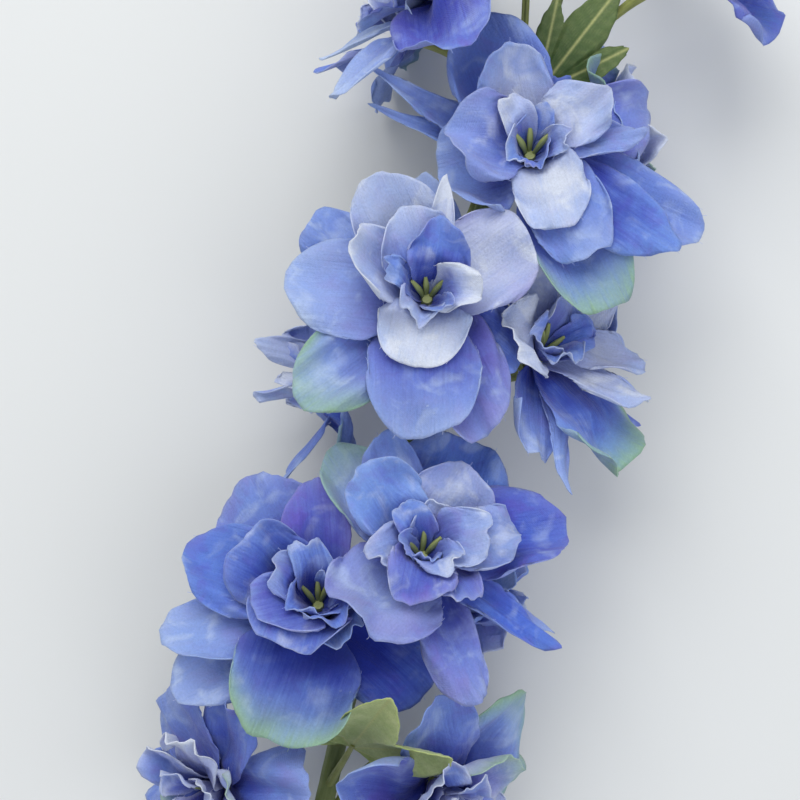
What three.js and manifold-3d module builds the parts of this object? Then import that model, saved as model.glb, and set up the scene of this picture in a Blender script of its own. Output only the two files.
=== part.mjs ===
// A delphinium flower spike, cut and laid down on a flat surface.
// Millimetres. +Y runs along the spike from the cut end to the tip, +Z is up, and the surface it lies on is Z = 0.
import * as THREE from 'three';
import { mergeVertices } from 'three/addons/utils/BufferGeometryUtils.js';
import Module from 'manifold-3d';

const wasm = await Module();
wasm.setup();

// ---- driving dimensions ------------------------------------------------------------------------------------

const PETAL_THICKNESS = 0.9; // a stiffened petal with its curl, as one sheet
const GAP = 0.4; // clear space left where one piece is cut away for another
const FINEST = 0.2; // details smaller than this are smoothed away after a cut
const STEM_FOOT_RADIUS = 3.4;
const STEM_TIP_RADIUS = 0.9;
const STALK_RADIUS = 1.5;
const CALYX_RADIUS = 4.2; // where the stalk flares under the sepals
const HUB_RADIUS = 3.6; // the small disc that joins the petals of one whorl
const HUB_HEIGHT = 1.3;
const SEATED = 0.78; // where a petal starts in its hub, as a share of the hub's radius
const WHORL_STEP = 2.1; // distance along the floret's axis from one whorl's hub to the next
const PRONG_LENGTH = 10;
const PRONG_RADIUS = 1.1;
const PRONG_TURNS = [58, 112, 168]; // the three prongs fan out to one side

// The stem's centre line, from the cut end on the surface to the tip.
const STEM_LINE = [
  [15, -216, 3.5],
  [14, -165, 13],
  [11, -110, 27],
  [7, -50, 37],
  [5, 0, 41],
  [7, 60, 42],
  [12, 120, 40],
  [15, 175, 35],
  [13, 228, 27],
];

// One row per open floret: hub = centre of its outer whorl, bearing = the way it faces, turned from +X towards +Y,
// pitch = how far it faces up from the horizontal, root = where its stalk leaves the stem, as a Y position.
// Sepals and petals are rows of [turn, lift, length, width]: turn is the angle round the floret's axis, lift the
// angle at which the petal leaves the plane of its whorl, and the last two are its size.
const FLORETS = [
  {
    hub: [0, 29, 62], bearing: 90, pitch: 76, root: -16,
    sepals: [
      [191, 14, 41, 27], [232, 4, 46, 27], [281, 9, 41, 32],
      [314, 3, 43, 26], [347, 2, 35, 26], [158, 10, 42, 24],
    ],
    petals: [[133, 36, 37, 25], [168, 48, 31, 15], [99, 28, 38, 9], [57, 38, 35, 27], [277, 32, 22, 24]],
  },
  {
    hub: [18, 79, 60], bearing: 95, pitch: 72, root: 28,
    sepals: [
      [120, 15, 46, 29], [84, 4, 30, 16], [197, 10, 36, 30],
      [321, 6, 48, 26], [353, 12, 51, 20], [38, 11, 43, 26],
    ],
    petals: [[124, 33, 38, 22], [160, 40, 28, 18], [66, 36, 31, 17], [317, 28, 30, 21]],
  },
  {
    hub: [37, 22, 45], bearing: 60, pitch: 38, root: -12,
    sepals: [[328, 3, 42, 25], [62, 24, 33, 24], [168, 12, 27, 17], [110, 18, 30, 20], [278, -14, 34, 20]],
    petals: [[80, 42, 28, 16], [150, 44, 27, 9], [322, 38, 34, 10], [215, 46, 24, 20]],
  },
  {
    hub: [20, -47, 60], bearing: 90, pitch: 60, root: -88,
    sepals: [
      [85, 15, 43, 30], [38, 14, 45, 30], [343, 8, 49, 16],
      [298, 8, 46, 20], [232, 18, 36, 35], [148, 10, 43, 27],
    ],
    petals: [[62, 36, 32, 22], [126, 40, 33, 19], [12, 37, 31, 18], [318, 45, 25, 17], [205, 48, 22, 19]],
  },
  {
    hub: [-6, -70, 56], bearing: 98, pitch: 66, root: -112,
    sepals: [
      [137, 13, 48, 32], [176, 16, 43, 27], [205, 2, 47, 22],
      [230, -6, 49, 22], [270, 6, 42, 37], [338, 4, 47, 30],
    ],
    petals: [[106, 31, 40, 20], [158, 32, 34, 22], [258, 46, 22, 26], [306, 43, 20, 18]],
  },
  {
    hub: [-18, -132, 40], bearing: 215, pitch: 46, root: -152,
    sepals: [[10, 20, 36, 27], [82, 14, 40, 26], [154, 10, 40, 28], [226, 12, 38, 27], [298, 16, 36, 26]],
    petals: [[46, 44, 26, 16], [118, 44, 27, 17], [190, 42, 27, 16], [262, 44, 26, 17]],
  },
  {
    hub: [42, -112, 40], bearing: 325, pitch: 44, root: -148,
    sepals: [[5, 14, 38, 26], [77, 16, 38, 26], [149, 12, 38, 27], [221, 10, 38, 27], [293, 14, 36, 25]],
    petals: [[41, 42, 26, 16], [113, 44, 27, 17], [185, 44, 27, 16], [257, 42, 26, 16]],
  },
  {
    hub: [-20, 119, 58], bearing: 128, pitch: 24, root: 70,
    sepals: [[20, 12, 34, 25], [92, 18, 36, 25], [164, 14, 36, 25], [236, 18, 34, 25], [308, 14, 34, 24]],
    petals: [[56, 44, 25, 15], [128, 46, 26, 16], [200, 44, 25, 15], [272, 46, 26, 15]],
  },
  {
    hub: [46, 152, 50], bearing: 55, pitch: 26, root: 78,
    sepals: [[14, 16, 34, 24], [86, 14, 35, 24], [158, 18, 33, 24], [230, 14, 34, 24], [302, 10, 38, 26]],
    petals: [[50, 44, 24, 15], [122, 44, 24, 15], [194, 46, 24, 15], [266, 44, 24, 15]],
  },
  {
    hub: [-13, 5, 27], bearing: 195, pitch: -4, root: -26,
    sepals: [
      [15, 12, 28, 22], [85, 10, 32, 22], [140, 12, 30, 22],
      [195, 12, 32, 24], [250, 14, 34, 16], [305, 10, 36, 20],
    ],
    petals: [[40, 62, 33, 11], [330, 66, 32, 10], [150, 48, 24, 15], [235, 48, 24, 15]],
  },
  {
    hub: [-24, 114, 30], bearing: 165, pitch: 0, root: 58,
    sepals: [[345, 16, 34, 24], [45, 12, 36, 25], [105, 12, 36, 24], [165, 12, 34, 24], [215, 10, 32, 20]],
    petals: [[15, 44, 25, 15], [75, 44, 25, 15], [255, 40, 34, 8], [130, 42, 24, 15]],
  },
  {
    hub: [34, 90, 27], bearing: 25, pitch: -8, root: 50,
    sepals: [[12, 10, 34, 24], [84, 12, 34, 24], [156, 14, 36, 24], [228, 12, 36, 24], [300, 8, 34, 24]],
    petals: [[48, 42, 24, 15], [120, 44, 24, 15], [192, 44, 24, 15], [264, 42, 24, 15]],
  },
  {
    hub: [33, -56, 27], bearing: 342, pitch: -8, root: -94,
    sepals: [
      [72, 10, 33, 23], [125, 12, 32, 23], [180, 12, 28, 20],
      [342, 14, 34, 24], [20, 12, 32, 22], [290, 8, 30, 20],
    ],
    petals: [[60, 42, 24, 15], [132, 44, 24, 15], [254, 34, 38, 8], [0, 42, 24, 15]],
  },
];

// The small green buds of the tip, which are one piece with the stem: root, bearing, pitch, reach, length, radius.
const TIP_BUDS = [
  { root: 190, bearing: 40, pitch: 40, reach: 9, length: 10.5, radius: 3.6 },
  { root: 200, bearing: 165, pitch: 5, reach: 8, length: 9.5, radius: 3.2 },
  { root: 210, bearing: 10, pitch: 10, reach: 7, length: 8.5, radius: 2.9 },
  { root: 217, bearing: 120, pitch: 60, reach: 5, length: 8, radius: 2.6 },
  { root: 226, bearing: 90, pitch: -5, reach: 1, length: 10, radius: 3 },
];

// Closed buds below the tip: root as above, the way the stalk points, its length and the bud's size.
const BUDS = [
  { root: 98, bearing: 106, pitch: 16, reach: 50, length: 17, radius: 6.2 },
  { root: 158, bearing: 60, pitch: 62, reach: 22, length: 15, radius: 5.4 },
  { root: 172, bearing: 25, pitch: 5, reach: 20, length: 13.5, radius: 4.8 },
  { root: 184, bearing: 150, pitch: 20, reach: 17, length: 12, radius: 4.2 },
];

// Lobed leaves: root on the stem, the way the blade points, its stalk, and its lobes as [turn, length, width].
const LEAVES = [
  { root: -125, bearing: 80, pitch: 52, stalk: 26, lobes: [[0, 40, 17], [38, 32, 15], [-40, 38, 15]] },
  { root: -176, bearing: 228, pitch: -2, stalk: 24, lobes: [[0, 40, 16], [36, 32, 14], [-36, 32, 14]] },
  { root: 94, bearing: 68, pitch: 8, stalk: 9, lobes: [[0, 44, 15], [24, 32, 10], [-24, 34, 10]] },
];

// ---- helpers -----------------------------------------------------------------------------------------------

const UP = new THREE.Vector3(0, 0, 1);
const rad = THREE.MathUtils.degToRad;
const vec = ([x, y, z]) => new THREE.Vector3(x, y, z);

const heading = (bearing, pitch) =>
  new THREE.Vector3(
    Math.cos(rad(pitch)) * Math.cos(rad(bearing)),
    Math.cos(rad(pitch)) * Math.sin(rad(bearing)),
    Math.sin(rad(pitch)),
  );

const stemCurve = new THREE.CatmullRomCurve3(STEM_LINE.map(vec));

// The point of the stem's centre line that lies at a given Y.
function stemAt(y) {
  let low = 0;
  let high = 1;
  for (let i = 0; i < 30; i += 1) {
    const middle = (low + high) / 2;
    if (stemCurve.getPointAt(middle).y < y) low = middle;
    else high = middle;
  }
  return stemCurve.getPointAt(low);
}

// A closed three.js geometry as a solid that can be joined and cut.
function toSolid(geometry) {
  const bare = geometry.clone();
  bare.deleteAttribute('normal');
  bare.deleteAttribute('uv');
  const merged = mergeVertices(bare, 1e-4);
  return new wasm.Manifold(
    new wasm.Mesh({
      numProp: 3,
      vertProperties: new Float32Array(merged.attributes.position.array),
      triVerts: new Uint32Array(merged.index.array),
    }),
  );
}

function toGeometry(solid) {
  const mesh = solid.getMesh();
  return new THREE.BufferGeometry()
    .setAttribute('position', new THREE.BufferAttribute(new Float32Array(mesh.vertProperties), 3))
    .setIndex(new THREE.BufferAttribute(new Uint32Array(mesh.triVerts), 1));
}

const join = (solids) => solids.reduce((whole, next) => whole.add(next));

// The largest single body of a solid, with no sealed hollow in it.
const mainBody = (solid) =>
  solid.decompose().reduce((best, next) => (next.volume() > best.volume() ? next : best));

// A round rod along a curve, whose radius follows radiusAt(0..1).
function rod(curve, radiusAt, sides, steps, grow = 0) {
  const geometry = new THREE.CylinderGeometry(1, 1, 1, sides, steps);
  const spots = geometry.attributes.position;
  const longest = curve.getPointAt(1).sub(curve.getPointAt(0)).normalize();
  const reference = Math.abs(longest.z) > 0.8 ? new THREE.Vector3(1, 0, 0) : UP;
  for (let i = 0; i < spots.count; i += 1) {
    const t = THREE.MathUtils.clamp(spots.getY(i) + 0.5, 0, 1);
    const along = curve.getTangentAt(t);
    const side = new THREE.Vector3().crossVectors(reference, along).normalize();
    const over = new THREE.Vector3().crossVectors(side, along);
    const radius = radiusAt(t) + grow;
    const spot = curve.getPointAt(t)
      .addScaledVector(side, spots.getX(i) * radius)
      .addScaledVector(over, spots.getZ(i) * radius);
    spots.setXYZ(i, spot.x, spot.y, Math.max(spot.z, 0));
  }
  return toSolid(geometry);
}

// ---- petals ------------------------------------------------------------------------------------------------

const CLAW = 0.16; // width where the petal leaves its hub, as a share of the full width
const WIDEST = 0.66; // how far along the petal is widest
const TAPER = 0.38; // how much narrower it is at the end of its sides
const ROUNDING = 0.09; // how far the end's corners are drawn back

// Half width at a place 0..1 along a petal, as a share of its full half width.
function outline(v) {
  const rise = Math.sin((Math.PI / 2) * THREE.MathUtils.clamp(v / WIDEST, 0, 1)) ** 1.2;
  const past = Math.max(0, (v - WIDEST) / (1 - WIDEST));
  return (CLAW + (1 - CLAW) * rise) * (1 - TAPER * past * past);
}

// The middle surface of a petal: u runs -1..1 across it and v runs 0..1 along it.
// base is where it starts, axis its floret's axis, out the way it leads, lift and curl are in degrees.
function petalPoint(petal, u, v) {
  const { base, axis, out, lift, curl, length, width, cup, point } = petal;
  const across = new THREE.Vector3().crossVectors(axis, out);
  const place = v - (ROUNDING + point) * u * u * Math.max(v, 0) ** 3;
  const steps = 8;
  const spot = base.clone();
  for (let i = 0; i < steps; i += 1) {
    const slope = rad(lift + (curl * place * (i + 0.5)) / steps);
    spot.addScaledVector(out, (Math.cos(slope) * place * length) / steps);
    spot.addScaledVector(axis, (Math.sin(slope) * place * length) / steps);
  }
  const slope = rad(lift + curl * place);
  const normal = axis.clone().multiplyScalar(Math.cos(slope)).addScaledVector(out, -Math.sin(slope));
  const half = (width / 2) * outline(v) * (1 - point * 2 * v ** 3);
  const bend = rad(cup);
  spot.addScaledVector(across, (half * Math.sin(bend * u)) / bend);
  spot.addScaledVector(normal, (half * (1 - Math.cos(bend * u))) / bend);
  return spot;
}

// A petal as a closed sheet. Where it would pass through the surface the spike lies on, it lies flat on it.
function petalSolid(petal, columns, rows, grow = 0) {
  const half = PETAL_THICKNESS / 2;
  const grown = { ...petal, length: petal.length + grow, width: petal.width + 2 * grow };
  const middle = (u, v) => {
    const spot = petalPoint(grown, u, v);
    spot.z = Math.max(spot.z, half);
    return spot;
  };
  const geometry = new THREE.BoxGeometry(2, 1, 1, columns, rows, 1);
  const spots = geometry.attributes.position;
  const small = 0.02;
  for (let i = 0; i < spots.count; i += 1) {
    const u = spots.getX(i);
    const v = spots.getY(i) + 0.5;
    const acrossStep = middle(u + small, v).sub(middle(u - small, v));
    const alongStep = middle(u, v + small).sub(middle(u, v - small));
    const normal = acrossStep.cross(alongStep).normalize();
    const layer = spots.getZ(i) * 2 * (half + grow);
    const spot = middle(u, v).addScaledVector(normal, layer);
    spots.setXYZ(i, spot.x, spot.y, Math.max(spot.z, 0));
  }
  return toSolid(geometry);
}

// ---- the pieces of one floret ------------------------------------------------------------------------------

function hubDisc(centre, axis, grow) {
  const disc = new THREE.CylinderGeometry(HUB_RADIUS + grow, HUB_RADIUS + grow, HUB_HEIGHT + 2 * grow, 8);
  disc.rotateX(Math.PI / 2);
  disc.applyQuaternion(new THREE.Quaternion().setFromUnitVectors(UP, axis));
  disc.translate(centre.x, centre.y, centre.z);
  return toSolid(disc);
}

// One whorl: its petals round a small disc, on the floret's axis.
function whorl(floret, rows, level, shape, columns, steps, grow) {
  const axis = heading(floret.bearing, floret.pitch);
  const turnTo = new THREE.Quaternion().setFromUnitVectors(UP, axis);
  const centre = vec(floret.hub).addScaledVector(axis, level);
  const solids = rows.map(([turn, lift, length, width]) => {
    const out = new THREE.Vector3(Math.cos(rad(turn)), Math.sin(rad(turn)), 0).applyQuaternion(turnTo);
    const base = centre.clone().addScaledVector(out, HUB_RADIUS * SEATED);
    const reach = length - HUB_RADIUS * SEATED;
    return petalSolid({ base, axis, out, lift, length: reach, width, ...shape }, columns, steps, grow);
  });
  return join([hubDisc(centre, axis, grow), ...solids]);
}

const SEPAL_SHAPE = { curl: -8, cup: 26, point: 0 };
const PETAL_SHAPE = { curl: 10, cup: 40, point: 0 };

const sepals = (floret, grow = 0) => whorl(floret, floret.sepals, 0, SEPAL_SHAPE, 2, 3, grow);
const petals = (floret, grow = 0) => whorl(floret, floret.petals, WHORL_STEP, PETAL_SHAPE, 2, 2, grow);

// The stalk leaves the stem along it, and meets the floret along the floret's axis. It flares into the calyx.
function stalk(floret, grow = 0) {
  const axis = heading(floret.bearing, floret.pitch);
  const from = stemAt(floret.root);
  const to = vec(floret.hub).addScaledVector(axis, -HUB_HEIGHT / 2 - GAP);
  const span = from.distanceTo(to);
  const outward = to.clone().sub(from).setY(0).normalize();
  const clear = stemRadiusAtY(floret.root) + STALK_RADIUS + GAP;
  const start = from.clone().addScaledVector(outward, clear);
  const curve = new THREE.CubicBezierCurve3(
    start,
    start.clone().add(new THREE.Vector3(0, span * 0.45, 0)),
    to.clone().addScaledVector(axis, -span * 0.42),
    to,
  );
  const flare = (t) => STALK_RADIUS + (CALYX_RADIUS - STALK_RADIUS) * Math.max(0, (t - 0.8) / 0.2) ** 1.5;
  return rod(curve, flare, 6, 7, grow);
}

// Three short prongs that spread from a low button.
function pistil(floret, grow = 0) {
  const axis = heading(floret.bearing, floret.pitch);
  const turnTo = new THREE.Quaternion().setFromUnitVectors(UP, axis);
  const foot = vec(floret.hub).addScaledVector(axis, WHORL_STEP + HUB_HEIGHT / 2 + GAP);
  const prongs = PRONG_TURNS.map((turn) => {
    const out = new THREE.Vector3(Math.cos(rad(turn)), Math.sin(rad(turn)), 0).applyQuaternion(turnTo);
    const tip = foot.clone().addScaledVector(axis, PRONG_LENGTH).addScaledVector(out, PRONG_LENGTH * 0.4);
    const line = new THREE.LineCurve3(foot.clone().addScaledVector(out, 1.35), tip);
    return rod(line, (t) => PRONG_RADIUS * (1 - 0.55 * t), 4, 1, grow);
  });
  const button = new THREE.LineCurve3(foot, foot.clone().addScaledVector(axis, 2.4));
  return join([rod(button, (t) => 2.3 - 0.6 * t, 6, 1, grow), ...prongs]);
}

// ---- stem, buds and leaves ---------------------------------------------------------------------------------

const stemRadius = (t) => STEM_FOOT_RADIUS + (STEM_TIP_RADIUS - STEM_FOOT_RADIUS) * t ** 1.15;

function stemRadiusAtY(y) {
  const first = STEM_LINE[0][1];
  const last = STEM_LINE[STEM_LINE.length - 1][1];
  return stemRadius((y - first) / (last - first));
}

// A bud on its own short stalk, which starts at a given distance from the stem's centre line.
function budRod(spec, clear, lead, sides, steps, grow) {
  const way = heading(spec.bearing, spec.pitch);
  const outward = way.clone().setY(0).normalize();
  const start = stemAt(spec.root).addScaledVector(outward, clear);
  const ahead = new THREE.Vector3(0, lead, 0);
  const end = start.clone().addScaledVector(way, spec.reach + spec.length).add(ahead);
  const curve = new THREE.QuadraticBezierCurve3(start, start.clone().add(ahead), end);
  const share = spec.length / curve.getLength();
  const profile = (t) => {
    const into = THREE.MathUtils.clamp((t - 1) / share + 1, 0, 1);
    return 0.9 + (spec.radius - 0.9) * Math.abs(Math.sin(Math.PI * into ** 0.8)) ** 0.8 * (1 - 0.25 * into);
  };
  return rod(curve, profile, sides, steps, grow);
}

const bud = (spec, grow = 0) => budRod(spec, stemRadiusAtY(spec.root) + 1 + GAP, 13, 8, 9, grow);

// The stem, with the buds of its tip.
const mainStem = (grow = 0) =>
  join([rod(stemCurve, stemRadius, 8, 20, grow), ...TIP_BUDS.map((spec) => budRod(spec, 0, 5, 6, 6, grow))]);

function leaf(spec, grow = 0) {
  const way = heading(spec.bearing, spec.pitch);
  const side = new THREE.Vector3().crossVectors(UP, way).normalize();
  const over = new THREE.Vector3().crossVectors(way, side);
  const from = stemAt(spec.root);
  const outward = way.clone().setY(0).normalize();
  if (outward.lengthSq() < 0.5) outward.set(0, 0, 1);
  const start = from.clone().addScaledVector(outward, stemRadiusAtY(spec.root) + 1 + GAP);
  const neck = start.clone().addScaledVector(way, spec.stalk);
  const stalkLine = new THREE.LineCurve3(start, neck.clone().addScaledVector(way, 3));
  const lobes = spec.lobes.map(([turn, length, width]) => {
    const out = way.clone().applyAxisAngle(over, rad(turn));
    const lobe = { base: neck, axis: over, out, lift: 0, curl: -14, length, width, cup: 18, point: 0.24 };
    return petalSolid(lobe, 2, 3, grow);
  });
  return join([rod(stalkLine, () => 1, 6, 1, grow), ...lobes]);
}

// ---- the assembly ------------------------------------------------------------------------------------------

const number = (i) => String(i + 1).padStart(2, '0');
const pieces = [{ name: 'main_stem', kind: 'stem', make: mainStem }];
FLORETS.forEach((floret, i) => {
  pieces.push({ name: `floret_${number(i)}_stalk`, kind: 'stalk', make: (grow) => stalk(floret, grow) });
});
FLORETS.forEach((floret, i) => {
  pieces.push({ name: `floret_${number(i)}_pistil`, kind: 'pistil', make: (grow) => pistil(floret, grow) });
});
BUDS.forEach((spec, i) => {
  pieces.push({ name: `bud_${number(i)}`, kind: 'bud', make: (grow) => bud(spec, grow) });
});
FLORETS.forEach((floret, i) => {
  pieces.push({ name: `floret_${number(i)}_petals`, kind: 'petal', make: (grow) => petals(floret, grow) });
});
FLORETS.forEach((floret, i) => {
  pieces.push({ name: `floret_${number(i)}_sepals`, kind: 'sepal', make: (grow) => sepals(floret, grow) });
});
LEAVES.forEach((spec, i) => {
  pieces.push({ name: `leaf_${number(i)}`, kind: 'leaf', make: (grow) => leaf(spec, grow) });
});

const MATERIALS = {
  stem: new THREE.MeshStandardMaterial({ color: 0x6f7d3c, roughness: 0.55, metalness: 0 }),
  stalk: new THREE.MeshStandardMaterial({ color: 0x8a9148, roughness: 0.55, metalness: 0 }),
  pistil: new THREE.MeshStandardMaterial({ color: 0x7f8a3e, roughness: 0.5, metalness: 0 }),
  bud: new THREE.MeshStandardMaterial({ color: 0x6a78b8, roughness: 0.8, metalness: 0 }),
  petal: new THREE.MeshStandardMaterial({ color: 0xa9b6e2, roughness: 0.85, metalness: 0 }),
  sepal: new THREE.MeshStandardMaterial({ color: 0x5b77c9, roughness: 0.85, metalness: 0 }),
  leaf: new THREE.MeshStandardMaterial({ color: 0x6d7f45, roughness: 0.7, metalness: 0 }),
};

// Each piece gives way to those before it: they are cut out of it with a little room to spare.
const spike = new THREE.Group();
const before = [];
for (const piece of pieces) {
  let solid = mainBody(piece.make(0));
  for (const other of before) {
    if (solid.intersect(other.wide).volume() > 0) solid = mainBody(solid.subtract(other.wide).simplify(FINEST));
  }
  before.push({ wide: piece.make(GAP) });
  const mesh = new THREE.Mesh(toGeometry(solid), MATERIALS[piece.kind]);
  mesh.name = piece.name;
  spike.add(mesh);
}

// The origin is the middle of the footprint, on the surface.
const extent = new THREE.Box3().setFromObject(spike);
const middle = extent.getCenter(new THREE.Vector3());
spike.position.set(-middle.x, -middle.y, -extent.min.z);

export default spike;
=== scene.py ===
# %% [markdown]
# # A delphinium spike, laid down
#
# This script builds the looks of one long stem with thirteen open double florets, a few buds and three
# leaves. Its petals are die-cut cloth: each whorl is stamped from stiffened fabric, dyed, pressed between hot
# moulds and threaded on a moulded stalk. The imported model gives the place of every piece. Everything that is
# made here is in metres, in the same frame: +Y runs along the stem to its tip, +Z is up, and the table is at
# Z = 0.

# %% The frame
import math

import bpy
import numpy as np
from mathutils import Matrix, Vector


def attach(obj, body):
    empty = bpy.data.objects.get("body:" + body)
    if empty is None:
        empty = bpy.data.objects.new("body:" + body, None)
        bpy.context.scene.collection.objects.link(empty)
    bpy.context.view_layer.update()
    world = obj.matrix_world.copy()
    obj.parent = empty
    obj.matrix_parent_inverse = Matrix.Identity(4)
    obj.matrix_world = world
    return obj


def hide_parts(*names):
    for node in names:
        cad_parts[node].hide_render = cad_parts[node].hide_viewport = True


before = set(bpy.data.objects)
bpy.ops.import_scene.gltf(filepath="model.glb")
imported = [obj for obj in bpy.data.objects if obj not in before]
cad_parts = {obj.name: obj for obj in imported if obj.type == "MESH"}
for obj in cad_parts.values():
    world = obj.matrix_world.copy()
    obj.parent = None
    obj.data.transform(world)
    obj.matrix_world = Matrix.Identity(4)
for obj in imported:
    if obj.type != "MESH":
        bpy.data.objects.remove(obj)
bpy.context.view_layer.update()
MM = 0.001
rng = np.random.default_rng(41)
print("nodes in the frame:", len(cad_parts))

# %% [markdown]
# ## Where things are
#
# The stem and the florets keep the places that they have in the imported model. A stalk is drawn again here
# with more faces, so its rule is repeated: it leaves the stem lying along it and arrives along the floret's
# axis. A floret's axis is turned from +X towards +Y by its bearing, and lifted from the table by its pitch.
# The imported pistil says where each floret's centre is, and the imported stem's foot says where the stem starts.
# Lengths in this script are in millimetres and angles in degrees, until a mesh is made.

# %% Places along the stem
STEM_LINE = [  # the centre line from foot to tip, before it is moved to where the frame has the foot
    (15, -216, 3.5),
    (14, -165, 13),
    (11, -110, 27),
    (7, -50, 37),
    (5, 0, 41),
    (7, 60, 42),
    (12, 120, 40),
    (15, 175, 35),
    (13, 228, 27),
]
STEM_FOOT_RADIUS = 3.4
STEM_TIP_RADIUS = 0.9
FLORET_AXES = [  # bearing, pitch, and the stem's Y where the stalk leaves it
    (90, 76, -16),
    (95, 72, 28),
    (60, 38, -12),
    (90, 60, -88),
    (98, 66, -112),
    (215, 46, -152),
    (325, 44, -148),
    (128, 24, 70),
    (55, 26, 78),
    (195, -4, -26),
    (165, 0, 58),
    (25, -8, 50),
    (342, -8, -94),
]
HUB_TO_PISTIL = 5.7  # from the outer whorl's centre to the middle of the pistil, along the axis


def node_points(name):
    """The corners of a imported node, in millimetres."""
    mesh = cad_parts[name].data
    spots = np.zeros(len(mesh.vertices) * 3)
    mesh.vertices.foreach_get("co", spots)
    return spots.reshape(-1, 3) / MM


def unit(v):
    """The same direction, one long."""
    return np.asarray(v, float) / np.linalg.norm(v)


def heading(bearing, pitch):
    """The direction with that bearing and pitch, both in degrees."""
    b, p = math.radians(bearing), math.radians(pitch)
    return np.array([math.cos(p) * math.cos(b), math.cos(p) * math.sin(b), math.sin(p)])


def seat_of(axis):
    """The turn that takes straight up to the axis, as a matrix."""
    return np.array(Vector((0, 0, 1)).rotation_difference(Vector(axis)).to_matrix())


stem_corners = node_points("main_stem")
FOOT_SLICE = 1.5  # the corners this near to the end of the stem are its foot
foot = stem_corners[stem_corners[:, 1] < stem_corners[:, 1].min() + FOOT_SLICE].mean(0)
shift = foot - np.array(STEM_LINE[0])
shift[2] = 0
stem_line = np.array(STEM_LINE, float) + shift
hubs = []
for i, (bearing, pitch, root) in enumerate(FLORET_AXES):
    heart = node_points(f"floret_{i + 1:02d}_pistil").mean(0)
    hubs.append(heart - heading(bearing, pitch) * HUB_TO_PISTIL)
    print(f"floret {i + 1}: hub at", np.round(hubs[-1], 1))
print("shift from the drawn places to the frame:", np.round(shift, 2))

# %% [markdown]
# ## Camera and light
#
# The spike lies on its back, so the camera looks straight down on it. It is turned a little about its own
# line of sight, so that the stem climbs from the lower left to the upper right. A portrait lens half a metre
# away keeps the near florets only slightly larger than the far ones. The light is that of a bright room with
# a large window: a pale sky all round and two wide soft panels, which leave shade only between the petals.

# %% Camera
LEAN = 16  # degrees that the stem leans to the right in the camera's view
FOCAL_PLANE = 85  # height of the front petals, in millimetres
CAMERA_DISTANCE = 550  # from that plane
LENS = 85  # focal length on a sensor 36 mm wide
camera_data = bpy.data.cameras.new("camera")
camera_data.sensor_width = 36
camera_data.lens = LENS
camera_data.clip_start = 0.05
camera = bpy.data.objects.new("camera", camera_data)
camera.location = (shift[0] * MM, shift[1] * MM, (FOCAL_PLANE + CAMERA_DISTANCE) * MM)
camera.rotation_euler = (0, 0, math.radians(LEAN))
bpy.context.scene.collection.objects.link(camera)
bpy.context.scene.camera = camera
bpy.context.scene.view_settings.view_transform = "Standard"
print("camera at", [round(c, 3) for c in camera.location])


# %% [markdown]
# ## Helpers
#
# A colour is written as the hex value that a screen shows, and one function turns it to the linear values
# that Blender computes with. Another adds a shader or geometry node with its settings and links. The rest
# make a mesh from an array of points, store values on its points, and hang a piece on the root body, hiding
# the imported nodes that it stands for.

# %% Colour, node and mesh helpers
def srgb(code):
    """The linear colour of an sRGB hex value such as "6b86d6"."""
    parts = [int(code[k : k + 2], 16) / 255 for k in (0, 2, 4)]
    return (*[c / 12.92 if c <= 0.04045 else ((c + 0.055) / 1.055) ** 2.4 for c in parts], 1.0)


def add(tree, kind, settings=None, **inputs):
    """Adds a node. An input named by its label or by n0, n1, ... takes a value or another node's socket."""
    node = tree.nodes.new(kind)
    for name, value in (settings or {}).items():
        setattr(node, name, value)
    for name, value in inputs.items():
        socket = node.inputs[int(name[1:]) if name[1:].isdigit() else name.replace("_", " ")]
        if isinstance(value, bpy.types.NodeSocket):
            tree.links.new(value, socket)
        else:
            socket.default_value = value
    return node


def noise_scale(size):
    """The Scale of a noise on coordinates in metres whose features are this many millimetres apart."""
    return 1 / (size * MM)


def mesh_object(name, points, faces, material, smooth=True):
    """An object at the origin whose mesh has these points, given in millimetres."""
    mesh = bpy.data.meshes.new(name)
    mesh.from_pydata((np.asarray(points) * MM).tolist(), [], faces)
    mesh.materials.append(material)
    mesh.polygons.foreach_set("use_smooth", [smooth] * len(mesh.polygons))
    mesh.update()
    piece = bpy.data.objects.new(name, mesh)
    bpy.context.scene.collection.objects.link(piece)
    return piece


def store(piece, label, values):
    """Puts an attribute on the points: a colour if each has four values, or else a vector."""
    kind, key = ("FLOAT_COLOR", "color") if values.shape[1] == 4 else ("FLOAT_VECTOR", "vector")
    piece.data.attributes.new(label, kind, "POINT").data.foreach_set(key, values.ravel())


def plain_mesh(carrier, name):
    """The evaluated result of an object's modifiers, as a plain mesh object. The carrier is removed."""
    graph = bpy.context.evaluated_depsgraph_get()
    mesh = bpy.data.meshes.new_from_object(carrier.evaluated_get(graph))
    bpy.data.objects.remove(carrier)
    piece = bpy.data.objects.new(name, mesh)
    mesh.name = name
    bpy.context.scene.collection.objects.link(piece)
    return piece


def fasten(piece, slot, *nodes):
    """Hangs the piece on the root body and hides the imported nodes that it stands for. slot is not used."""
    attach(piece, "root")
    if nodes:
        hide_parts(*nodes)


# %% [markdown]
# ## Stage
#
# A matt painted table top, pale grey and rough enough to show no reflection, and soft light: the world gives
# an even sky, and two large panels stand for the window and for the bright wall across from it.

# %% Table and lights
def principled(name, **inputs):
    """A new material with its tree, and its Principled shader with constants set on its own sockets."""
    material = bpy.data.materials.new(name)
    material.use_nodes = True
    shader = material.node_tree.nodes["Principled BSDF"]
    for key, value in inputs.items():
        shader.inputs[key.replace("_", " ")].default_value = value
    return material, material.node_tree, shader


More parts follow.
